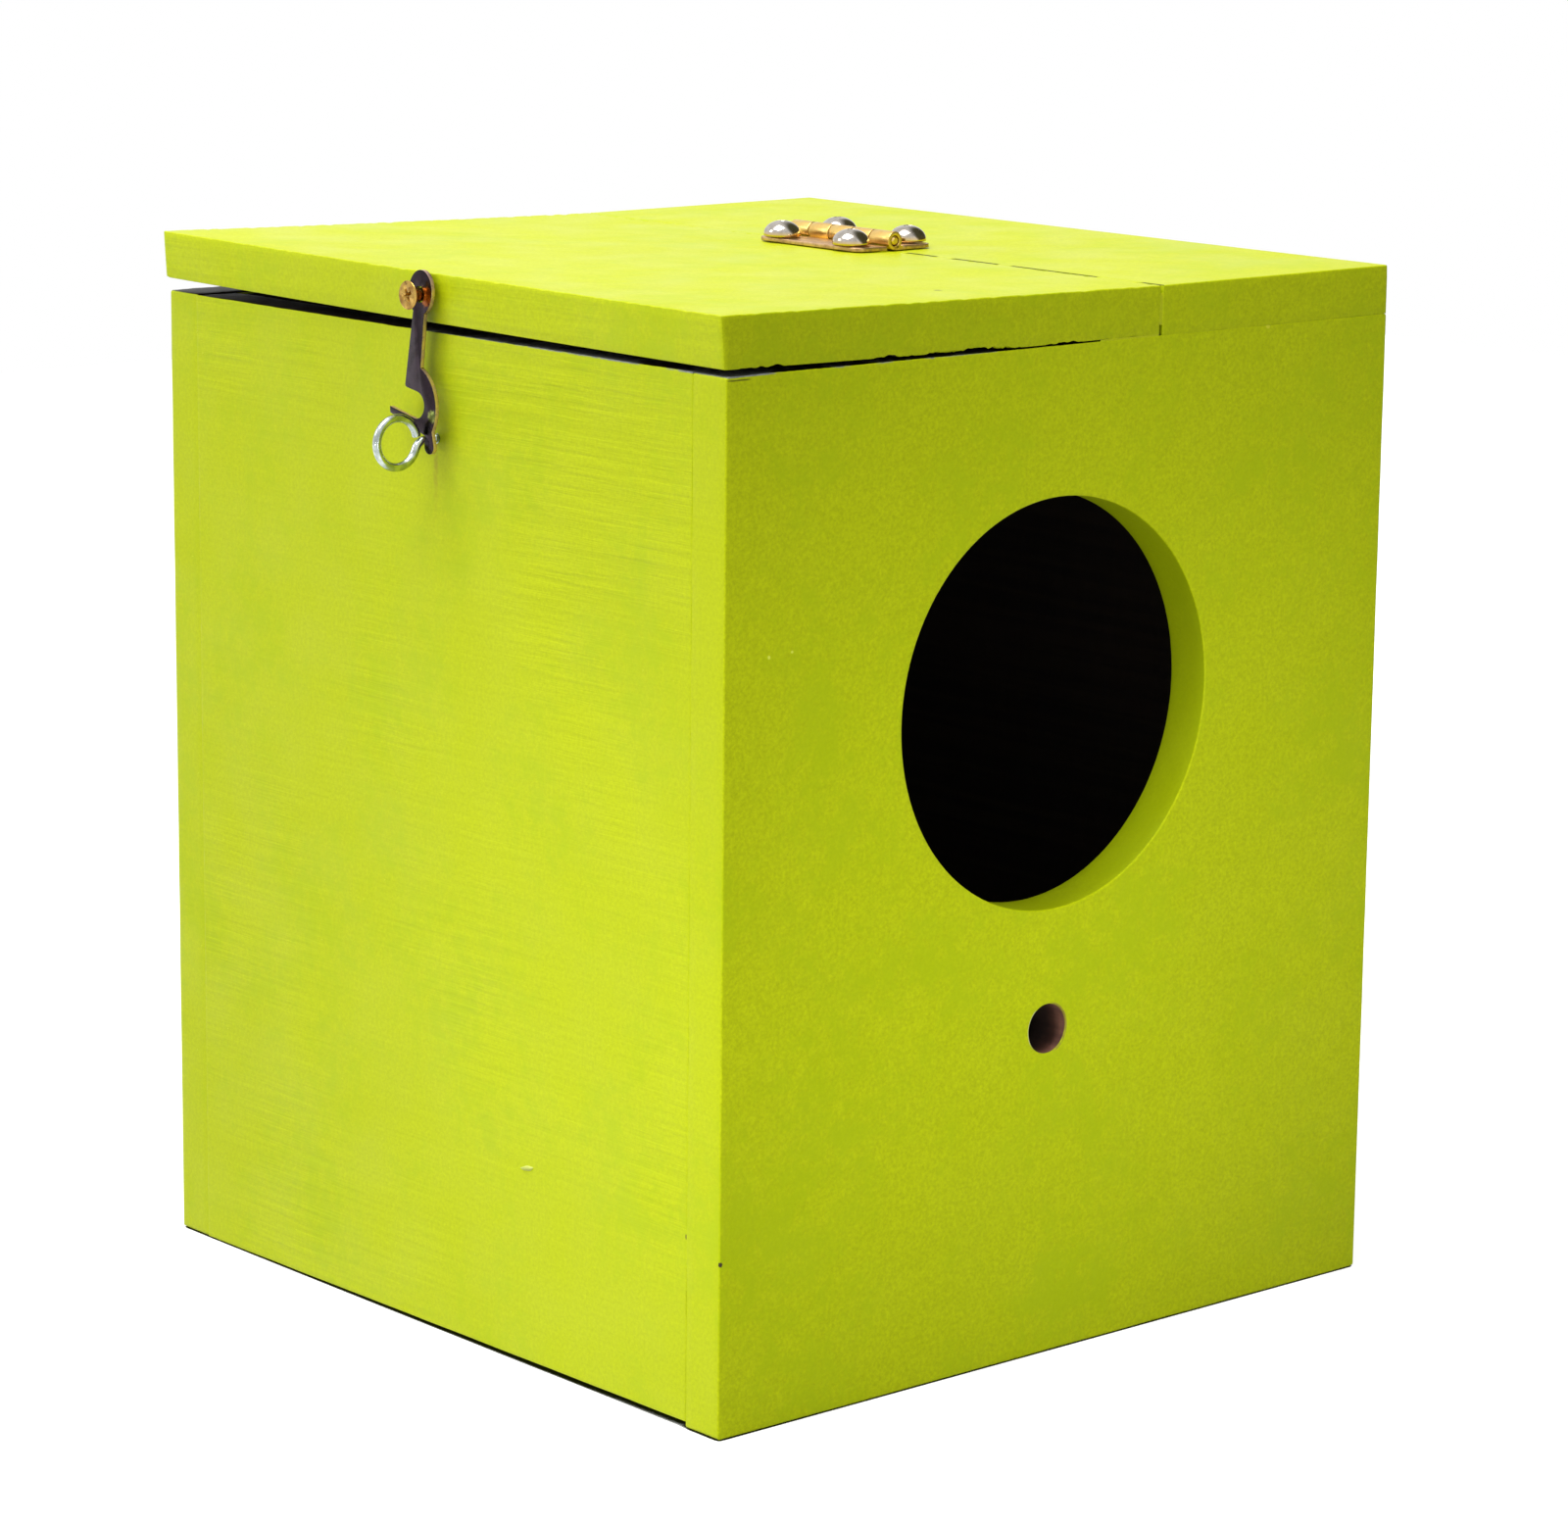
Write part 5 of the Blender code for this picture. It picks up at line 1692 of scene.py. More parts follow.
@dataclass
class Lid:
    """The hinged part of the top.

    Attributes:
        sizes: the shared sizes.
        rim: how far its upper rim is rounded.
        rough: how uneven its upper rim is.
        chip: how deep its lower front rim is ragged.
        wave: how far its edges wander.
        bead: how far paint hangs from its lower front rim.
        room: how much room the paint has over the wall at the latch end.
        warp: how far its far corner has lifted.
        overhang: how far its latch end stands out, as (near low, near high, far low, far high).
        rim_depth: how far from its faces a point counts as on the rim, as (upper, lower).
    """

    sizes: BoxSizes
    rim: float = 0.0004
    rough: float = 0.0004
    chip: float = 0.0007
    wave: float = 0.00012
    bead: float = 0.0005
    room: float = 0.0017
    warp: float = 0.0009
    overhang: tuple[float, float, float, float] = (0.0003, 0.0015, 0.0012, 0.0021)
    rim_depth: tuple[float, float] = (0.0006, 0.0011)

    def moved(self, point: Vector, half_u: float, half_v: float) -> Vector:
        """Return where a point of the lid's plate ends up.

        Args:
            point: the point on the plate.
            half_u: half the plate's width.
            half_v: half its height.

        Returns:
            The moved point.
        """
        thickness = self.sizes.board
        moved = point.copy()
        front = (half_v - point.y) / (2 * half_v)
        latch = (half_u - point.x) / (2 * half_u)
        far = max(0.0, (point.y + half_v) / (2 * half_v)) * max(0.0, latch)
        moved.z += self.warp * far * far
        shift = self.wave * soft_noise(point + Vector((0.4, 0.1, 0.2)), 65.0)
        near_u = abs(point.x) > half_u - BORDER
        near_v = abs(point.y) > half_v - BORDER
        if near_u:
            moved.x -= math.copysign(shift, point.x)
        if near_v:
            moved.y -= math.copysign(shift, point.y)
        if (near_u or near_v) and point.z > -self.rim_depth[0]:
            moved.z -= self.rough * max(0.0, soft_noise(Vector((point.x, 7.7, point.y)), 420.0) - 0.4)
        if (near_u or near_v) and point.z < self.rim_depth[1] - thickness:
            moved.z -= min(self.bead * front, max(0.0, self.room * latch - 0.00004))
            if near_v:
                coarse = math.floor(soft_noise(Vector((point.x, 3.1, point.y)), 115.0) * 5.0) / 5.0
                fine = soft_noise(Vector((point.x, 5.3, point.y)), 560.0)
                ragged = min(1.0, max(0.0, 2.4 * (coarse - 0.36) + 1.1 * (fine - 0.5)))
                moved.z += min(self.chip, self.chip * 3.0 * latch) * ragged
        if point.x < BORDER - half_u:
            high = 1.0 + point.z / thickness
            near_out = self.overhang[0] + (self.overhang[1] - self.overhang[0]) * high
            far_out = self.overhang[2] + (self.overhang[3] - self.overhang[2]) * high
            moved.x -= far_out + (near_out - far_out) * front
        return moved

    def build(self) -> None:
        """Build the lid board in its rest place."""
        s = self.sizes
        end = -s.seam / 2
        half_u, half_v = (s.lid_length + end) / 2, s.depth / 2
        plate = Plate(
            2 * half_u,
            s.depth,
            s.board,
            corners=(0.0011, 0.0002, 0.0002, 0.0009),
            face_rim=self.rim,
            back_rim=0.0002,
            step=0.0007,
            face_share=lambda u, v: 0.3 if u > half_u - EDGE else 1.0,
            back_share=lambda u, v: 0.25 if u > 0.25 * half_u else 1.0,
            shape=lambda p: self.moved(p, half_u, half_v),
        )
        builder = plate.build()
        matrix = s.lid_matrix @ Matrix.Translation((end - half_u, 0.0, -s.axis_rise))
        bmesh.ops.transform(builder, matrix=matrix, verts=builder.verts)
        mark_shaded_front(builder, 3)
        finishes = (
            top_paint("lime_paint_lid", s, (((-0.0279, -0.0899, 0.2548), 0.0011, (0.24, 0.27, 0.02)),)),
            # Painted light: the lid's rim is drawn lighter than the coat, for the light on its latch end.
            LimePaint("lime_paint_lid_ends", Stroke.ALONG_DEPTH, 0.4, 0.7, shade=1.09),
            BareBoard("bare_lid", (0.040, 0.024, 0.016), (0.105, 0.062, 0.040), ring_share=0.3),
            shaded_front_end_paint("lime_paint_lid_front", 0.92),
        )
        mesh = to_mesh(builder, "lid_painted", [finish.material() for finish in finishes])
        new_piece("lid_painted", mesh, "lid", ["lid"])


@dataclass
class SeamPaint:
    """Paint that still bridges the gap between the lid and the strip. It stays on the strip.

    Attributes:
        sizes: the shared sizes.
        stretches: (start, end) along Y of each bridge.
        end_stretch: (start, end) along Z of the bridge on the entrance face.
        gap_stretch: (start, end) along X of the bridge from the entrance panel to the lid.
        gap_half: half how wide that bridge is.
        thickness: how thick the film is.
        proud: how far the film stands above the boards.
        sag: how far its middle sinks.
        overlap: how far it reaches past the gap.
        step: the spacing of its cross sections.
        columns: how many points go across it.
    """

    sizes: BoxSizes
    stretches: tuple[tuple[float, float], ...] = (
        (-0.0998, -0.0850),
        (-0.0553, -0.0508),
        (-0.0346, -0.0290),
        (-0.0182, 0.1064),
    )
    end_stretch: tuple[float, float] = (0.2447, 0.2522)
    gap_stretch: tuple[float, float] = (0.0080, 0.0271)
    gap_half: float = 0.00034
    thickness: float = 0.0005
    proud: float = 0.00006
    sag: float = 0.00012
    overlap: float = 0.0010
    step: float = 0.0006
    columns: int = 7

    def build(self) -> None:
        """Build the bridges as one piece."""
        s = self.sizes
        builder = bmesh.new()
        over_top = Matrix.Translation((s.axis.x, 0.0, s.height + self.proud))
        over_end = facing((1, 0, 0), (0, 0, 1), (0, -1, 0), (s.axis.x, 0.00002 - s.depth / 2, 0.0))
        over_gap = facing((0, 0, -1), (1, 0, 0), (0, -1, 0), (0.0, -s.depth / 2, s.wall_top + 0.0001))
        half = s.seam / 2 + self.overlap
        for stretch in self.stretches:
            self.bridge(builder, stretch, over_top, half)
        self.bridge(builder, self.end_stretch, over_end, half)
        self.bridge(builder, self.gap_stretch, over_gap, self.gap_half)
        # Painted light: the bridges take the top face's darker, redder copy of the coat.
        paint = LimePaint("lime_paint_bridge", Stroke.ROLLED, 0.15, 0.6, shade=TOP_SHADE, warmth=TOP_WARMTH)
        new_piece("seam_paint", to_mesh(builder, "seam_paint", [paint.material()]), "box", ())

    def bridge(
        self, builder: bmesh.types.BMesh, stretch: tuple[float, float], place: Matrix, half: float
    ) -> None:
        """Add one bridge.

        Args:
            builder: the mesh that is built.
            stretch: where it begins and ends along the seam.
            place: the matrix from (across, along, out) to the frame.
            half: half how wide it is.
        """
        start, end = stretch
        rows = max(4, round((end - start) / self.step))
        spread = [index / (self.columns - 1) * 2 - 1 for index in range(self.columns)]
        rings = []
        for row in range(rows + 1):
            share = row / rows
            y = start + (end - start) * share
            taper = min(1.0, 6.0 * min(share, 1.0 - share) + 0.02)
            reach = 0.7 + 0.3 * soft_noise(Vector((0.0, y, 0.0)), 1400.0)
            top = [(u, -self.sag * (1 - u * u) - self.proud * 1.5 * u**4) for u in spread]
            film = self.thickness * (0.3 + 0.7 * taper)
            under = [(u, -self.sag * (1 - u * u) - film) for u in reversed(spread)]
            spots = [place @ Vector((u * half * reach, y, level)) for u, level in top + under]
            rings.append([builder.verts.new(spot) for spot in spots])
        for lower, upper in zip(rings, rings[1:]):
            ring_of_faces(builder, lower, upper, 0)
        builder.faces.new(list(reversed(rings[0])))
        builder.faces.new(rings[-1])
        bmesh.ops.recalc_face_normals(builder, faces=builder.faces)


# Hardware


@dataclass
class ButtHinge:
    """The brass butt hinge on the top face, with its four domed screws.

    Attributes:
        sizes: the shared sizes.
        length: its length along Y.
        middle: where its middle lies along Y.
        knuckles: how many knuckles it has.
        reach: how far each leaf reaches from the axis.
        leaf: how thick a leaf is.
        corner: the corner radius of a leaf.
        gap: the gap between two knuckles.
        pin_radius: the radius of its pin.
        clearance: the play of the pin.
        screw_reach: how far the screws stand from the axis.
        screw_spacing: how far apart they stand.
        dome_radius: the radius of a screw's head.
        dome_height: the height of its head.
        dome_rim: the height of the upright rim of its head.
        dome_rings: how many rings of faces the dome has.
        screw_length: the length of its shank.
        screw_radius: the radius of its shank.
        brass: the finish of the knuckles and the pin.
        leaf_brass: the finish of the leaves.
        plating: the finish of the screws.
    """

    sizes: BoxSizes
    length: float = 0.038
    middle: float = 0.005
    knuckles: int = 5
    reach: float = 0.0125
    leaf: float = 0.0010
    corner: float = 0.0025
    gap: float = 0.0003
    pin_radius: float = 0.0011
    clearance: float = 0.0002
    screw_reach: float = 0.0094
    screw_spacing: float = 0.0259
    dome_radius: float = 0.0047
    dome_height: float = 0.00397
    dome_rim: float = 0.0005
    dome_rings: int = 16
    screw_length: float = 0.0095
    screw_radius: float = 0.0019
    brass: SmallMetal = SmallMetal(
        "brass_hinge",
        clean=(0.82, 0.57, 0.18),
        dull=(0.66, 0.43, 0.13),
        grime=(0.22, 0.12, 0.04),
        low_rough=0.30,
        high_rough=0.44,
        grain=(2400.0, 160.0, 2400.0),
        depth=0.000006,
        grime_share=0.2,
    )
    leaf_brass: SmallMetal = SmallMetal(
        "brass_leaf",
        clean=(0.66, 0.44, 0.24),
        dull=(0.44, 0.27, 0.14),
        grime=(0.16, 0.09, 0.04),
        low_rough=0.32,
        high_rough=0.50,
        grain=(160.0, 2400.0, 2400.0),
        depth=0.000006,
        grime_share=0.4,
    )
    plating: SmallMetal = SmallMetal(
        "bright_plating",
        clean=(0.56, 0.52, 0.47),
        dull=(0.40, 0.36, 0.31),
        grime=(0.14, 0.11, 0.07),
        low_rough=0.09,
        high_rough=0.20,
        depth=0.000004,
        grime_share=0.3,
        # Painted reflection of the lit lime top, drawn warm at the foot of each dome.
        warm_reflection_band=(0.2560, 0.2574),
    )

    @property
    def barrel(self) -> float:
        """Radius of the barrel."""
        return self.pin_radius + self.clearance + self.leaf

    def matrix(self, body: str) -> Matrix:
        """Return the frame on the hinge axis that a body's half sits in."""
        return self.sizes.lid_matrix if body == "lid" else Matrix.Translation(self.sizes.axis)

    def half(self, name: str, body: str, side: int, first: int, node: str) -> None:
        """Build one leaf with its knuckles.

        Args:
            name: the piece's name.
            body: the body that it rides on.
            side: 1 for the strip's side, -1 for the lid's.
            first: the number of its first knuckle.
            node: the CAD node that it stands for.
        """
        inner = self.barrel + self.sizes.seat
        width = self.reach - inner
        inside, outside = SQUARE_CORNER, self.corner
        plate = Plate(
            width,
            self.length,
            self.leaf,
            corners=(inside, outside, outside, inside) if side > 0 else (outside, inside, inside, outside),
            face_rim=0.00018,
            back_rim=0.00012,
            step=0.0008,
            grid=0.0015,
            rim_steps=3,
            wall_rows=2,
            margin=0.0002,
        )
        builder = plate.build()
        spot = Matrix.Translation((side * (inner + width / 2), self.middle, self.leaf - self.barrel))
        bmesh.ops.transform(builder, matrix=spot, verts=builder.verts)
        pitch = self.length / self.knuckles
        values = {
            "Count": (self.knuckles - first + 1) // 2,
            "Pitch": 2 * pitch,
            "Start": self.middle - self.length / 2 + pitch * (first + 0.5),
            "Length": pitch - self.gap,
            "Outer Radius": self.barrel,
            "Bore Radius": self.pin_radius + self.clearance,
            "Edge Radius": 0.00022,
            "Side": float(side),
            "Tongue": inner + 0.0003,
            "Material": self.brass.material(),
        }
        row = grown(name + "_knuckles", "knuckle_row", values)
        plate_faces = len(builder.faces)
        builder.from_mesh(row)
        bmesh.ops.transform(builder, matrix=self.matrix(body), verts=builder.verts)
        for number, face in enumerate(builder.faces):
            face.material_index = 1 if number < plate_faces else 0
        mesh = to_mesh(builder, name, [self.brass.material(), self.leaf_brass.material()])
        mesh.set_sharp_from_angle(angle=math.radians(50.0))
        new_piece(name, mesh, body, [node])

    def screw(self) -> bpy.types.Mesh:
        """Return one domed screw, standing on its leaf."""
        turns = [math.pi / 2 * index / self.dome_rings for index in range(self.dome_rings)]
        rise = self.dome_height - self.dome_rim
        dome = [(self.dome_radius * math.cos(turn), self.dome_rim + rise * math.sin(turn)) for turn in turns]
        profile = (
            (0.0, -self.screw_length),
            (self.screw_radius * 0.3, 0.0004 - self.screw_length),
            (self.screw_radius, 0.0025 - self.screw_length),
            (self.screw_radius, 0.0),
            (self.dome_radius - 0.0006, 0.0),
            (self.dome_radius - 0.0001, 0.00006),
            (self.dome_radius, 0.0002),
            *dome,
            (0.0, self.dome_height),
        )
        mesh = to_mesh(turned(profile, 56), "domed_screw", [self.plating.material()])
        return carved(mesh, cross_cutter(0.0044, self.dome_height), RECESS_SOFTNESS)

    def screws(self, name: str, body: str, side: int, nodes: Sequence[str]) -> None:
        """Build the two screws of one leaf.

        Args:
            name: the piece's name.
            body: the body that they ride on.
            side: 1 for the strip's side, -1 for the lid's.
            nodes: the CAD nodes that they stand for.
        """
        sample = in_scene("screw_sample", self.screw())
        values = {
            "Screw": sample,
            "Count": 2,
            "Reach": side * self.screw_reach,
            "Spacing": self.screw_spacing,
            "Middle": self.middle,
            "Level": self.leaf - self.barrel + self.sizes.seat,
            "Turn": 0.9 if side > 0 else 2.1,
            "Material": self.plating.material(),
        }
        mesh = grown(name, "screw_pair", values)
        bpy.data.objects.remove(sample, do_unlink=True)
        mesh.transform(self.matrix(body))
        mesh.set_sharp_from_angle(angle=math.radians(60.0))
        new_piece(name, mesh, body, nodes)

    def build(self) -> None:
        """Build both halves and the screws, and give the CAD pin the hinge's brass."""
        self.half("hinge_leaf_fixed_brass", "box", 1, 0, "hinge_leaf_fixed")
        self.half("hinge_leaf_lid_brass", "lid", -1, 1, "hinge_leaf_lid")
        self.screws("hinge_screws_strip", "box", 1, ("hinge_screw_strip_1", "hinge_screw_strip_2"))
        self.screws("hinge_screws_lid", "lid", -1, ("hinge_screw_lid_1", "hinge_screw_lid_2"))
        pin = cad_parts["hinge_pin"]
        pin.data.materials.clear()
        pin.data.materials.append(self.brass.material())
        LOG.info("hinge_pin: CAD shape kept, brass finish")


@dataclass
class LatchHook:
    """The stamped swan-neck hook. Across is measured towards its open side, and down from the pivot.

    Attributes:
        sizes: the shared sizes.
        pivot_offset: where the pivot lies along Y.
        pivot_depth: how far it lies under the lid's top.
        lean: how far the hook hangs off the plumb line, in degrees.
        thickness: how thick the plate is.
        standoff: how far it stands off the lid's end.
        end_half_width: half the width of the oval end round the pivot.
        end_half_height: half its height.
        end_across: how far across the oval's middle lies.
        end_down: how far down it lies.
        shank_open: how far the shank reaches on its open side.
        shank_back_end: how far it reaches on its back, where it leaves the oval.
        shank_back_bend: how far it reaches on its back, where it meets the bend.
        bend_radius: the outer radius of the bend.
        bend_across: how far across the bend's middle lies.
        bend_down: how far down it lies.
        heel: how far the bend goes on past its side, in degrees.
        notch_radius: the radius of the notch.
        notch_across: how far across the notch's middle lies.
        notch_down: how far down it lies.
        notch_lip: how far the notch's upper corner is cut off.
        jaw_tip: how far the jaw reaches.
        jaw_rise: how far its tip stands over the notch's floor.
        jaw_tip_width: how wide the tip is.
        jaw_slant: how far the tip's lower corner is drawn back.
        jaw_root: how far the jaw's root lies under the notch's floor.
        knob_radius: the radius of the knob at the tail.
        knob_across: how far across the knob's middle lies.
        knob_drop: how far it lies under the jaw's root.
        bore_radius: the radius of the hole for the pivot.
        edge_round: how far the plate's edges are rounded.
        outline_step: about how many degrees lie between two points of an arc.
        bronze: the finish of the plate.
        cut_edge: the finish of its sheared edges.
    """

    sizes: BoxSizes
    pivot_offset: float = -0.0016
    pivot_depth: float = 0.0049
    lean: float = 9.3
    thickness: float = 0.0011
    standoff: float = 0.0030
    end_half_width: float = 0.0044
    end_half_height: float = 0.0053
    end_across: float = -0.0002
    end_down: float = -0.0005
    shank_open: float = 0.00165
    shank_back_end: float = 0.00255
    shank_back_bend: float = 0.0034
    bend_radius: float = 0.0101
    bend_across: float = -0.0008
    bend_down: float = 0.0265
    heel: float = 22.0
    notch_radius: float = 0.0032
    notch_across: float = -0.0032
    notch_down: float = 0.02565
    notch_lip: float = 0.00045
    jaw_tip: float = 0.00654
    jaw_rise: float = 0.0003
    jaw_tip_width: float = 0.00145
    jaw_slant: float = 0.0004
    jaw_root: float = 0.0030
    knob_radius: float = 0.00175
    knob_across: float = -0.00985
    knob_drop: float = 0.0021
    bore_radius: float = 0.00195
    edge_round: float = 0.00016
    outline_step: float = 6.0
    bronze: SmallMetal = SmallMetal(
        "dark_bronze_plate",
        clean=(0.032, 0.022, 0.029),
        dull=(0.020, 0.014, 0.017),
        grime=(0.10, 0.050, 0.030),
        low_rough=0.16,
        high_rough=0.30,
        grain=(900.0, 900.0, 300.0),
        depth=0.000015,
        grime_share=0.15,
        # Painted reflections: the brass screw's warm glow round the pivot, and a greenish sheen in the bend.
        marks=(
            ((-0.1097, -0.0040, 0.2508), 0.0024, (0.34, 0.11, 0.03)),
            ((-0.1097, -0.0068, 0.2232), 0.0016, (0.20, 0.22, 0.06)),
        ),
    )
    cut_edge: SmallMetal = SmallMetal(
        "sheared_edge",
        clean=(0.74, 0.52, 0.42),
        dull=(0.50, 0.34, 0.27),
        grime=(0.12, 0.07, 0.05),
        low_rough=0.32,
        high_rough=0.5,
        grain=(300.0, 2500.0, 2500.0),
        grime_share=0.5,
    )

    @property
    def pivot(self) -> Vector:
        """Where the hook's pivot lies in the lid's own frame, on the end of the board."""
        s = self.sizes
        return Vector((-s.lid_length, self.pivot_offset, -s.axis_rise - self.pivot_depth))

    def matrix(self) -> Matrix:
        """Return the hook's frame at rest, with its origin on the pivot."""
        lean = Matrix.Rotation(math.radians(self.lean), 4, "X")
        return self.sizes.lid_matrix @ Matrix.Translation(self.pivot) @ lean

    def crotch(self) -> tuple[float, float]:
        """Return the corner between the jaw and the tail."""
        return self.knob_across + self.knob_radius, -self.notch_down - self.notch_radius - self.jaw_root

    def outline(self) -> list[tuple[float, float]]:
        """Return the hook's outline, counterclockwise."""
        step = self.outline_step
        start = -math.acos((self.shank_open - self.end_across) / self.end_half_width)
        end = math.tau - math.acos((-self.shank_back_end - self.end_across) / self.end_half_width)
        count = round(math.degrees(end - start) / step)
        oval = []
        for index in range(count + 1):
            turn = start + (end - start) * index / count
            across = self.end_across + self.end_half_width * math.cos(turn)
            oval.append((across, self.end_half_height * math.sin(turn) - self.end_down))
        shoulder = math.degrees(math.acos((-self.shank_back_bend - self.bend_across) / self.bend_radius))
        bend = (self.bend_across, -self.bend_down)
        back = arc(bend, self.bend_radius, shoulder, 180.0 + self.heel, step * 0.6)
        crotch = self.crotch()
        knob = arc((self.knob_across, crotch[1] - self.knob_drop), self.knob_radius, 150.0, 360.0, step * 2)
        tip = self.jaw_rise - self.notch_down - self.notch_radius
        jaw = [crotch, (self.jaw_tip - self.jaw_slant, tip - self.jaw_tip_width), (self.jaw_tip, tip)]
        notch = arc((self.notch_across, -self.notch_down), self.notch_radius, 270.0, 90.0, step)
        lip = self.notch_radius - self.notch_down
        corner = [(self.shank_open - self.notch_lip, lip), (self.shank_open, lip + self.notch_lip)]
        return oval + back + knob + jaw + notch + corner

    def build(self) -> None:
        """Build the hook as a stamped plate with bright cut edges."""
        outer = -self.standoff - self.thickness
        plate = prism(self.outline(), outer, -self.standoff)
        mesh = to_mesh(plate, "hook_plate", [self.bronze.material(), self.cut_edge.material()])
        low, high = outer - 0.001, 0.001 - self.standoff
        bit = turned(((0.0, low), (self.bore_radius, low), (self.bore_radius, high), (0.0, high)), 36)
        result = carved(mesh, to_mesh(bit, "hook_bore"), self.edge_round, 3, 50.0, 50.0, 0)
        flat = Matrix(((0, 0, 1, 0), (1, 0, 0, 0), (0, 1, 0, 0), (0, 0, 0, 1)))
        result.transform(self.matrix() @ flat)
        new_piece("latch_hook_plate", result, "hook", ["latch_hook"])


@dataclass
class PivotScrew:
    """The countersunk cross-head screw that the hook turns on.

    Attributes:
        hook: the hook.
        head_radius: the radius of its head.
        head_rim: the height of the head's upright rim.
        cone: the height of the cone under it.
        shank_radius: the radius of the smooth shank.
        shank_end: how far under the head the smooth shank ends, as (start, end) of the step down.
        proud: how far the head stands off the lid.
        length: its whole length.
        point: the length of its point.
        core_radius: the radius inside the thread.
        pitch: the rise of one turn of the thread.
        turn: how far its recess is turned, in degrees.
    """

    hook: LatchHook
    head_radius: float = 0.0034
    head_rim: float = 0.0003
    cone: float = 0.0018
    shank_radius: float = 0.00165
    shank_end: tuple[float, float] = (0.0044, 0.0052)
    proud: float = 0.0075
    length: float = 0.0280
    point: float = 0.004
    core_radius: float = 0.00135
    pitch: float = 0.00105
    turn: float = 28.0

    def build(self) -> None:
        """Build the screw, its thread among it."""
        brass = SmallMetal(
            "brass_screw",
            clean=(0.54, 0.34, 0.08),
            dull=(0.27, 0.14, 0.03),
            grime=(0.10, 0.045, 0.02),
            low_rough=0.22,
            high_rough=0.42,
            grime_share=0.85,
        ).material()
        neck = self.head_rim + self.cone
        profile = (
            (0.0, -self.length),
            (self.core_radius * 0.2, 0.0004 - self.length),
            (self.core_radius, self.point - self.length),
            (self.core_radius, -self.shank_end[1]),
            (self.shank_radius * 0.94, -self.shank_end[0]),
            (self.shank_radius, -neck - 0.0003),
            (self.shank_radius * 1.06, -neck),
            (self.head_radius - 0.00006, -self.head_rim),
            (self.head_radius, -self.head_rim * 0.6),
            (self.head_radius - 0.00008, -0.00004),
            (self.head_radius - 0.0003, 0.0),
            (0.0, 0.0),
        )
        mesh = to_mesh(turned(profile, 48), "pivot_screw", [brass])
        mesh = carved(mesh, cross_cutter(0.0046, 0.0), RECESS_SOFTNESS)
        run = self.length - self.point - self.shank_end[1]
        ridge = threaded(self.core_radius, run, run / self.pitch, 0.00033, brass)
        ridge.transform(Matrix.Translation((0.0, 0.0, self.point - self.length)))
        out = aim(self.hook.pivot - Vector((self.proud, 0.0, 0.0)), Vector((-1.0, 0.0, 0.0)))
        matrix = self.hook.sizes.lid_matrix @ out @ Matrix.Rotation(math.radians(self.turn), 4, "Z")
        whole = joined("hook_screw_brass", (mesh, ridge), matrix, brass)
        new_piece("hook_screw_brass", whole, "lid", ["hook_pivot_screw"])


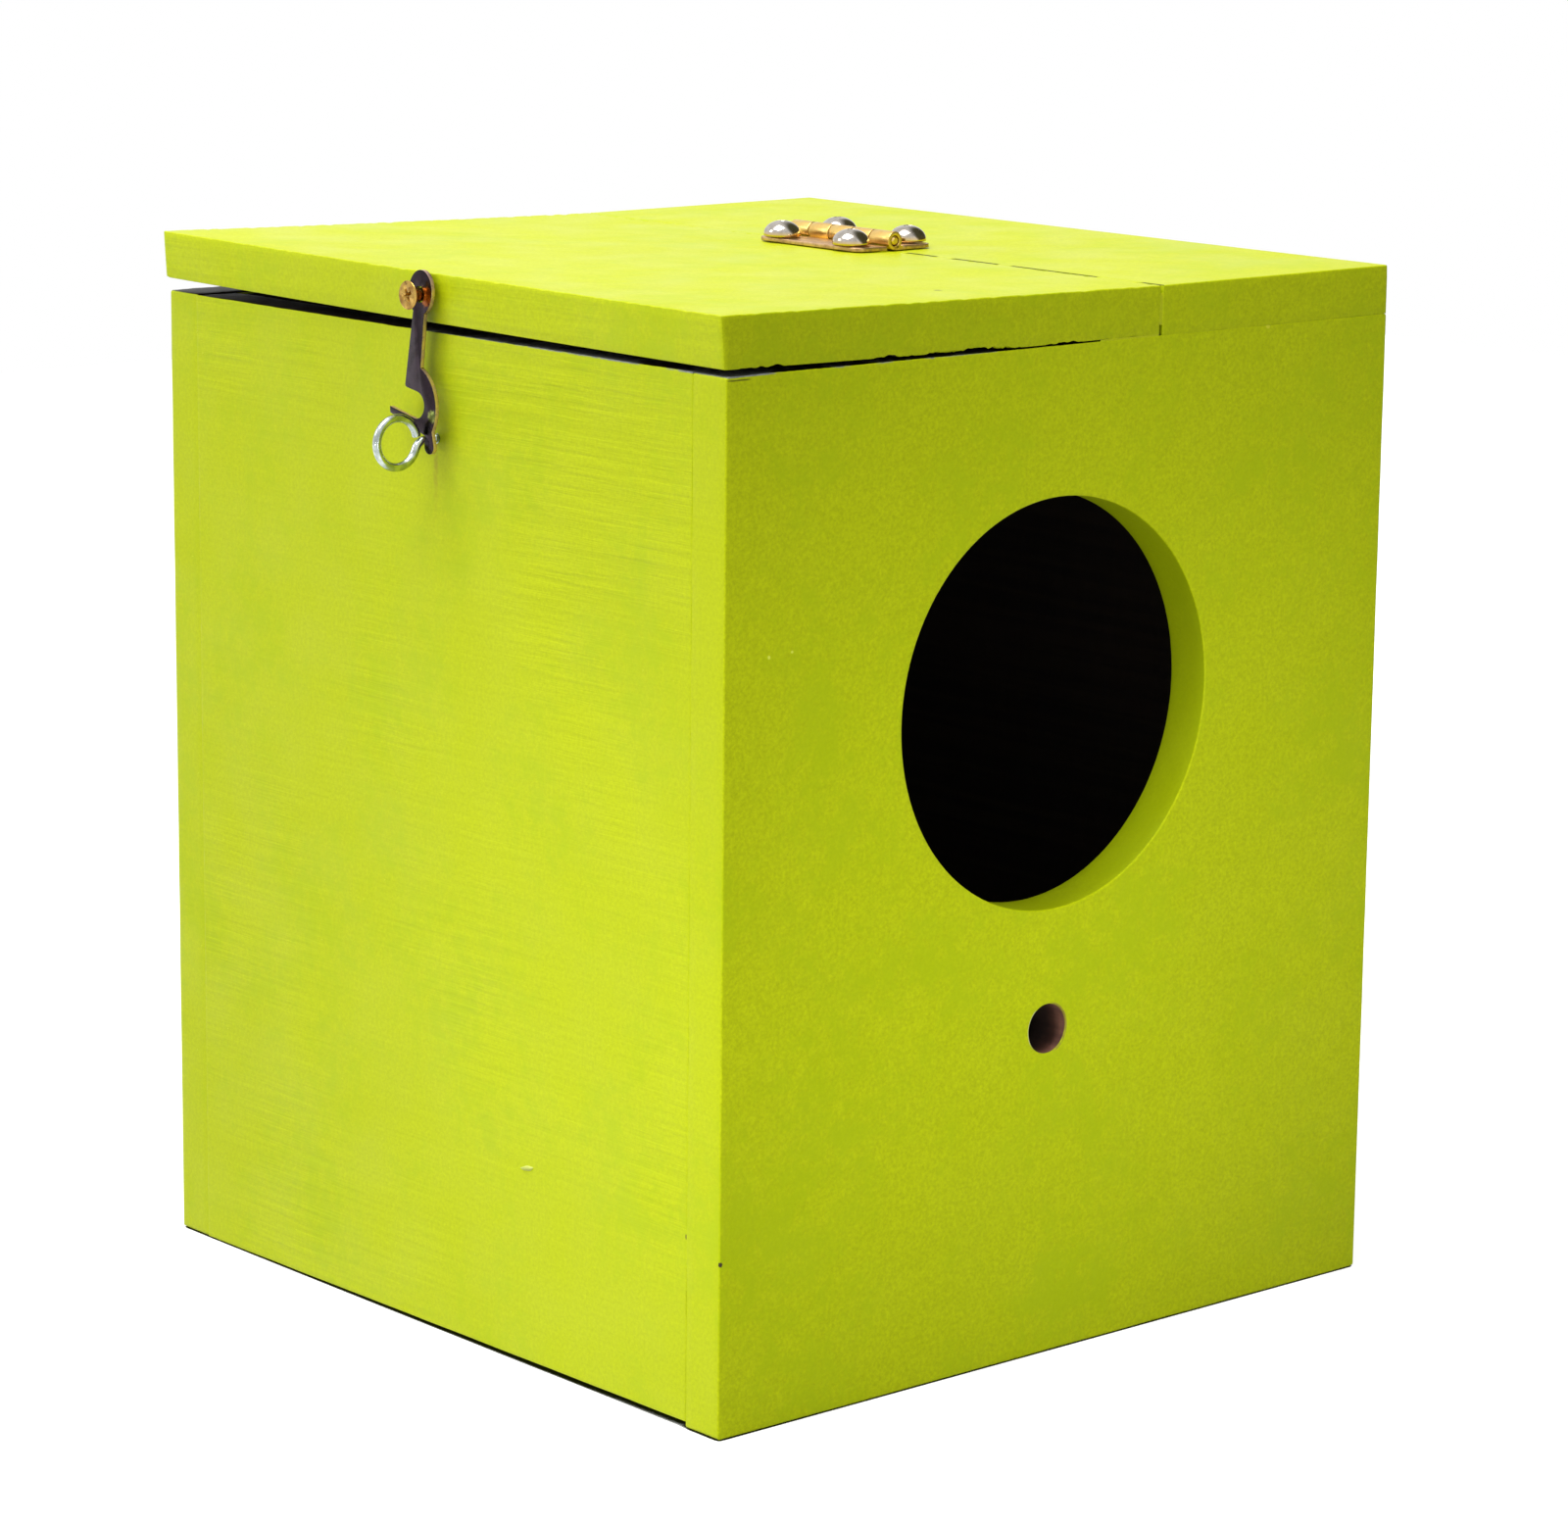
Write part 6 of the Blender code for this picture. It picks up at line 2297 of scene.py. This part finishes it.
@dataclass
class ScrewEye:
    """The bent wire eye in the latch panel. It lies in an upright plane square to the wall.

    Attributes:
        sizes: the shared sizes.
        hook: the hook that rests on it.
        wire_radius: the radius of its wire.
        ring_radius: the radius of its ring, to the middle of the wire.
        ring_clearance: how far the ring keeps off the hook's plate.
        shank_clearance: how far the shank keeps off the hook's crotch.
        neck_radius: how tightly it bends from the ring to the shank.
        depth: how deep the shank reaches into the wall.
        point: the length of its point.
        end_angle: where the wire's free end lies on the ring, in degrees.
        neck_angle: where the ring turns into the neck, in degrees.
        thread_length: how long its thread is.
        thread_start: how far off the wall the thread starts.
        thread_turns: how often the thread goes round.
    """

    sizes: BoxSizes
    hook: LatchHook
    wire_radius: float = 0.00103
    ring_radius: float = 0.00575
    ring_clearance: float = 0.0003
    shank_clearance: float = 0.0003
    neck_radius: float = 0.0030
    depth: float = 0.0095
    point: float = 0.003
    end_angle: float = 11.5
    neck_angle: float = -20.0
    thread_length: float = 0.0085
    thread_start: float = 0.0014
    thread_turns: float = 9.0

    def ring_middle(self) -> Vector:
        """Return the middle of the ring. The hook's crotch rests on its shank."""
        across, up = self.hook.crotch()
        reach = self.wire_radius + self.shank_clearance
        local = Vector((-self.hook.standoff - self.hook.thickness, across + reach, up - reach))
        plate = self.hook.matrix() @ local
        return Vector((plate.x - self.ring_clearance - self.wire_radius - self.ring_radius, plate.y, plate.z))

    def path(self) -> list[tuple[float, float, float]]:
        """Return (x, z, share of the wire's radius) along the wire, from its free end to its point."""
        middle = self.ring_middle()
        ring = arc((0.0, 0.0), self.ring_radius, self.end_angle, 360.0 + self.neck_angle, 4.0)
        turn = 90.0 + self.neck_angle
        neck_u = ring[-1][0] + self.neck_radius * math.sin(math.radians(turn))
        neck_v = ring[-1][1] - self.neck_radius * math.cos(math.radians(turn))
        neck = arc((neck_u, neck_v), self.neck_radius, 90.0 + turn, 90.0, 8.0)
        drop = neck[-1][1]
        line = [(middle.x + u, middle.z + v - drop, 1.0) for u, v in ring + neck[1:]]
        first, second = line[0], line[1]
        lead = [
            (first[0] + (first[0] - second[0]) * k, first[1] + (first[1] - second[1]) * k, share)
            for k, share in ((0.42, 0.72), (0.25, 0.93))
        ]
        stations = ((0.0, 1.0), (self.depth - self.point, 1.0), (self.depth - 0.0003, 0.3), (self.depth, 0.1))
        wall = -self.sizes.width / 2
        return lead + line + [(wall + reach, middle.z, share) for reach, share in stations]

    def build(self) -> None:
        """Build the eye as one swept wire with its thread."""
        middle = self.ring_middle()
        path = self.path()
        carrier = bpy.data.meshes.new("eye_path")
        points = [(x, middle.y, z) for x, z, _ in path]
        carrier.from_pydata(points, [(index, index + 1) for index in range(len(points) - 1)], [])
        shares = carrier.attributes.new("share", "FLOAT", "POINT")
        shares.data.foreach_set("value", [share for _, _, share in path])
        zinc = SmallMetal(
            "zinc_wire_bright",
            clean=(0.62, 0.67, 0.65),
            dull=(0.34, 0.39, 0.36),
            grime=(0.12, 0.12, 0.09),
            low_rough=0.12,
            high_rough=0.24,
            grain=(300.0, 1200.0, 300.0),
            depth=0.000006,
            grime_share=0.12,
        ).material()
        mesh = grown("eye_wire", "wire", {"Radius": self.wire_radius, "Sides": 24, "Material": zinc}, carrier)
        thread = threaded(self.wire_radius, self.thread_length, self.thread_turns, 0.00018, zinc)
        start = Vector((-self.sizes.width / 2 - self.thread_start, middle.y, middle.z))
        thread.transform(aim(start, Vector((1.0, 0.0, 0.0))))
        whole = joined("screw_eye_wire", (mesh, thread), Matrix.Identity(4), zinc)
        new_piece("screw_eye_wire", whole, "box", ["screw_eye"])


@dataclass
class Blemishes:
    """Nibs of dried paint on the latch face, and the pale chip low on it.

    Attributes:
        sizes: the shared sizes.
        nib_size: the radius of the largest nib.
        nib_density: how many nibs there are to a square metre.
        clear_rim: how far the nibs keep off the sides, the ground and the upper rim.
        chip_place: the middle of the chip, along Y and Z.
        chip_size: the half sizes of the chip, along X, Y and Z.
        chip_slope: how steeply it rises towards the front.
    """

    sizes: BoxSizes
    nib_size: float = 0.00032
    nib_density: float = 2200.0
    clear_rim: tuple[float, float, float] = (0.004, 0.006, 0.008)
    chip_place: tuple[float, float] = (-0.0369, 0.0483)
    chip_size: Colour = (0.0004, 0.0022, 0.0006)
    chip_slope: float = 0.20

    def build(self) -> None:
        """Build the nibs and the chip."""
        s = self.sizes
        x = 0.00003 - s.width / 2
        side, bottom, top = s.depth / 2 - self.clear_rim[0], self.clear_rim[1], s.wall_top - self.clear_rim[2]
        corners = [(x, -side, bottom), (x, -side, top), (x, side, top), (x, side, bottom)]
        values = {
            "Density": self.nib_density,
            "Size": self.nib_size,
            "Flatness": 0.25,
            "Seed": 11,
            "Material": LimePaint("lime_paint_nibs", stroke_share=0.1, peel_share=0.3).material(),
        }
        mesh = grown("paint_nibs", "nibs", values, sheet("nib_field", corners))
        new_piece("paint_nibs", mesh, "box", ())
        self.chip()

    def chip(self) -> None:
        """Build the pale chip that stands off the latch face."""
        builder = bmesh.new()
        bmesh.ops.create_icosphere(builder, subdivisions=3, radius=1.0)
        for vert in builder.verts:
            rough = 0.8 + 0.4 * soft_noise(vert.co + Vector((4.0, 1.0, 2.0)), 1.6)
            x, y, z = (place * size for place, size in zip(vert.co, self.chip_size))
            vert.co = Vector((x, y * rough, z * rough))
            vert.co.z -= self.chip_slope * vert.co.y
        for face in builder.faces:
            face.smooth = True
        place = Matrix.Translation((-self.sizes.width / 2, *self.chip_place))
        bmesh.ops.transform(builder, matrix=place, verts=builder.verts)
        pale = BareBoard("pale_chip", dark=(0.50, 0.55, 0.09), light=(0.61, 0.66, 0.20))
        mesh = to_mesh(builder, "pale_paint_chip", [pale.material()])
        new_piece("pale_paint_chip", mesh, "box", ())


# Studio


@dataclass
class Studio:
    """Floor, lamps and camera.

    Attributes:
        lens: the camera's focal length in millimetres.
        sensor: the width of its sensor in millimetres.
        camera_place: where it stands.
        camera_right: the direction of its picture's right.
        camera_down: the direction of its picture's lower edge.
        camera_forward: the direction that it looks in.
        ambient: how bright the surroundings light the object.
        floor_reach: half the size of the floor.
        card_place: the middle of the dark card.
        card_half: half its size.
        lamps: (name, place, target, size, power in watts, spread in degrees) of each lamp.
    """

    lens: float = 115.3
    sensor: float = 36.0
    camera_place: Colour = (-0.8068, -0.9334, 0.38165)
    camera_right: Colour = (0.75584393, -0.65466583, 0.01061194)
    camera_down: Colour = (-0.12485667, -0.16002546, -0.97918469)
    camera_forward: Colour = (0.64273694, 0.73878583, -0.20269367)
    ambient: float = 0.37
    floor_reach: float = 1.6
    card_place: Colour = (0.62, -0.22, 0.55)
    card_half: float = 1.1
    lamps: tuple[tuple[str, Colour, Colour, float, float, float], ...] = (
        ("key_lamp", (-1.30, 0.08, 3.75), (0.0, 0.0, 0.12), 2.7, 186.0, 180.0),
        ("side_lamp", (-1.30, 0.95, 1.10), (-0.10, 0.0, 0.15), 0.5, 4.6, 180.0),
        ("front_lamp", (-0.25, -1.20, 0.04), (-0.005, -0.107, 0.09), 0.15, 0.068, 20.0),
        ("low_lamp", (-1.10, -0.40, 0.05), (-0.105, -0.085, 0.065), 0.15, 0.048, 20.0),
    )

    def camera(self) -> None:
        """Place the camera at the photograph's viewing angle."""
        data = bpy.data.cameras.new("camera")
        data.lens = self.lens
        data.sensor_width = self.sensor
        data.clip_start = 0.05
        data.clip_end = 60.0
        thing = in_scene("camera", data)
        axes = (Vector(self.camera_right), -Vector(self.camera_down), -Vector(self.camera_forward))
        thing.matrix_world = Matrix.Translation(self.camera_place) @ Matrix(axes).transposed().to_4x4()
        bpy.context.scene.camera = thing

    @staticmethod
    def emptied(data: bpy.types.ID) -> Graph:
        """Return the emptied node tree of a new world or material."""
        data.use_nodes = True
        return Graph(data.node_tree, empty=True)

    @staticmethod
    def seen(graph: Graph) -> Socket:
        """Return 1 for rays from the camera, from gloss and through glass."""
        path = graph.add("ShaderNodeLightPath").outputs
        most = graph.math("MAXIMUM", path["Is Camera Ray"], path["Is Glossy Ray"])
        return graph.math("MAXIMUM", most, path["Is Transmission Ray"])

    @staticmethod
    def close(graph: Graph, kind: str, share: object, first: bpy.types.Node, second: bpy.types.Node) -> None:
        """End a tree in a mix of two shaders.

        Args:
            graph: the tree's graph.
            kind: World or Material.
            share: how much of the second shows.
            first: one shader.
            second: the other.
        """
        mix = graph.add("ShaderNodeMixShader", {0: share, 1: first.outputs[0], 2: second.outputs[0]})
        graph.add("ShaderNodeOutput" + kind, {0: mix.outputs[0]})

    def world(self) -> None:
        """Make a white background that lights the object at a plain level."""
        world = bpy.data.worlds.new("studio")
        bpy.context.scene.world = world
        graph = self.emptied(world)
        soft = graph.add("ShaderNodeBackground", {0: WHITE, 1: self.ambient})
        white = graph.add("ShaderNodeBackground", {0: WHITE, 1: 1.0})
        self.close(graph, "World", self.seen(graph), soft, white)

    def floor(self) -> None:
        """Lay a plain white floor that keeps the object's shadow, and paints a dark contact shadow where the
        object stands close.
        """
        material = bpy.data.materials.new("studio_floor")
        graph = self.emptied(material)
        plain = graph.add("ShaderNodeBsdfDiffuse", {0: (0.35, 0.35, 0.35, 1.0)})
        # Painted shadow: where ambient occlusion finds the object close, the floor's glow fades and its
        # colour turns dark olive.
        contact = graph.add("ShaderNodeAmbientOcclusion", {"Distance": 0.003}, samples=16)
        clear = graph.ramp(contact.outputs["AO"], 0.44, 0.58)
        contact_shade = graph.blend(clear, (0.04, 0.045, 0.01), (0.50, 0.50, 0.50))
        faint = graph.add("ShaderNodeBsdfDiffuse", {0: contact_shade})
        glow = graph.add("ShaderNodeEmission", {0: WHITE, 1: graph.product(clear, 0.80)})
        white = graph.add("ShaderNodeAddShader", {0: faint.outputs[0], 1: glow.outputs[0]})
        self.close(graph, "Material", self.seen(graph), plain, white)
        mesh = sheet("studio_floor", square(self.floor_reach, -0.0002))
        mesh.materials.append(material)
        in_scene("studio_floor", mesh)

    def dark_card(self) -> None:
        """Stand a dark card to the right of the camera that only polished metal shows."""
        place = Vector(self.card_place)
        material = bpy.data.materials.new("studio_card")
        graph = self.emptied(material)
        spot = graph.add("ShaderNodeTexCoord").outputs["Object"]
        away = graph.vector("DISTANCE", spot, self.card_place, "Value")
        cover = graph.ramp(away, 0.45 * self.card_half, 0.95 * self.card_half, 1.0, 0.0)
        dark = graph.add("ShaderNodeEmission", {0: (1.0, 0.95, 0.45, 1.0), 1: 0.10})
        self.close(graph, "Material", cover, graph.add("ShaderNodeBsdfTransparent"), dark)
        mesh = sheet("studio_card", square(self.card_half, 0.0))
        mesh.materials.append(material)
        turn = (Vector((0.0, 0.0, 0.15)) - place).to_track_quat("Z", "Y").to_matrix().to_4x4()
        mesh.transform(Matrix.Translation(place) @ turn)
        thing = in_scene("studio_card", mesh)
        thing.visible_camera = False
        thing.visible_diffuse = False
        thing.visible_shadow = False
        thing.visible_transmission = False

    @staticmethod
    def lamp(name: str, place: Colour, target: Colour, size: float, power: float, spread: float) -> None:
        """Hang one soft square lamp.

        Args:
            name: its name.
            place: where it hangs.
            target: the point that it faces.
            size: how wide it is.
            power: its power in watts.
            spread: how wide its light fans out, in degrees.
        """
        data = bpy.data.lights.new(name, "AREA")
        data.shape = "SQUARE"
        data.size = size
        data.energy = power
        data.spread = math.radians(spread)
        aimed = (Vector(target) - Vector(place)).to_track_quat("-Z", "Y")
        in_scene(name, data).matrix_world = Matrix.Translation(place) @ aimed.to_matrix().to_4x4()

    def build(self) -> None:
        """Set up the whole studio."""
        self.camera()
        self.world()
        self.floor()
        self.dark_card()
        for lamp in self.lamps:
            self.lamp(*lamp)
        bpy.context.scene.view_settings.view_transform = "Standard"


def main() -> None:
    """Build the whole object in order, then its studio, and report each piece."""
    logging.basicConfig(level=logging.INFO, format="%(name)s: %(message)s")
    sizes = BoxSizes()
    hook = LatchHook(sizes)
    for assembly in (
        Carcass(sizes),
        Lid(sizes),
        SeamPaint(sizes),
        ButtHinge(sizes),
        hook,
        PivotScrew(hook),
        ScrewEye(sizes, hook),
        Blemishes(sizes),
        Studio(),
    ):
        assembly.build()


if __name__ == "__main__":
    main()
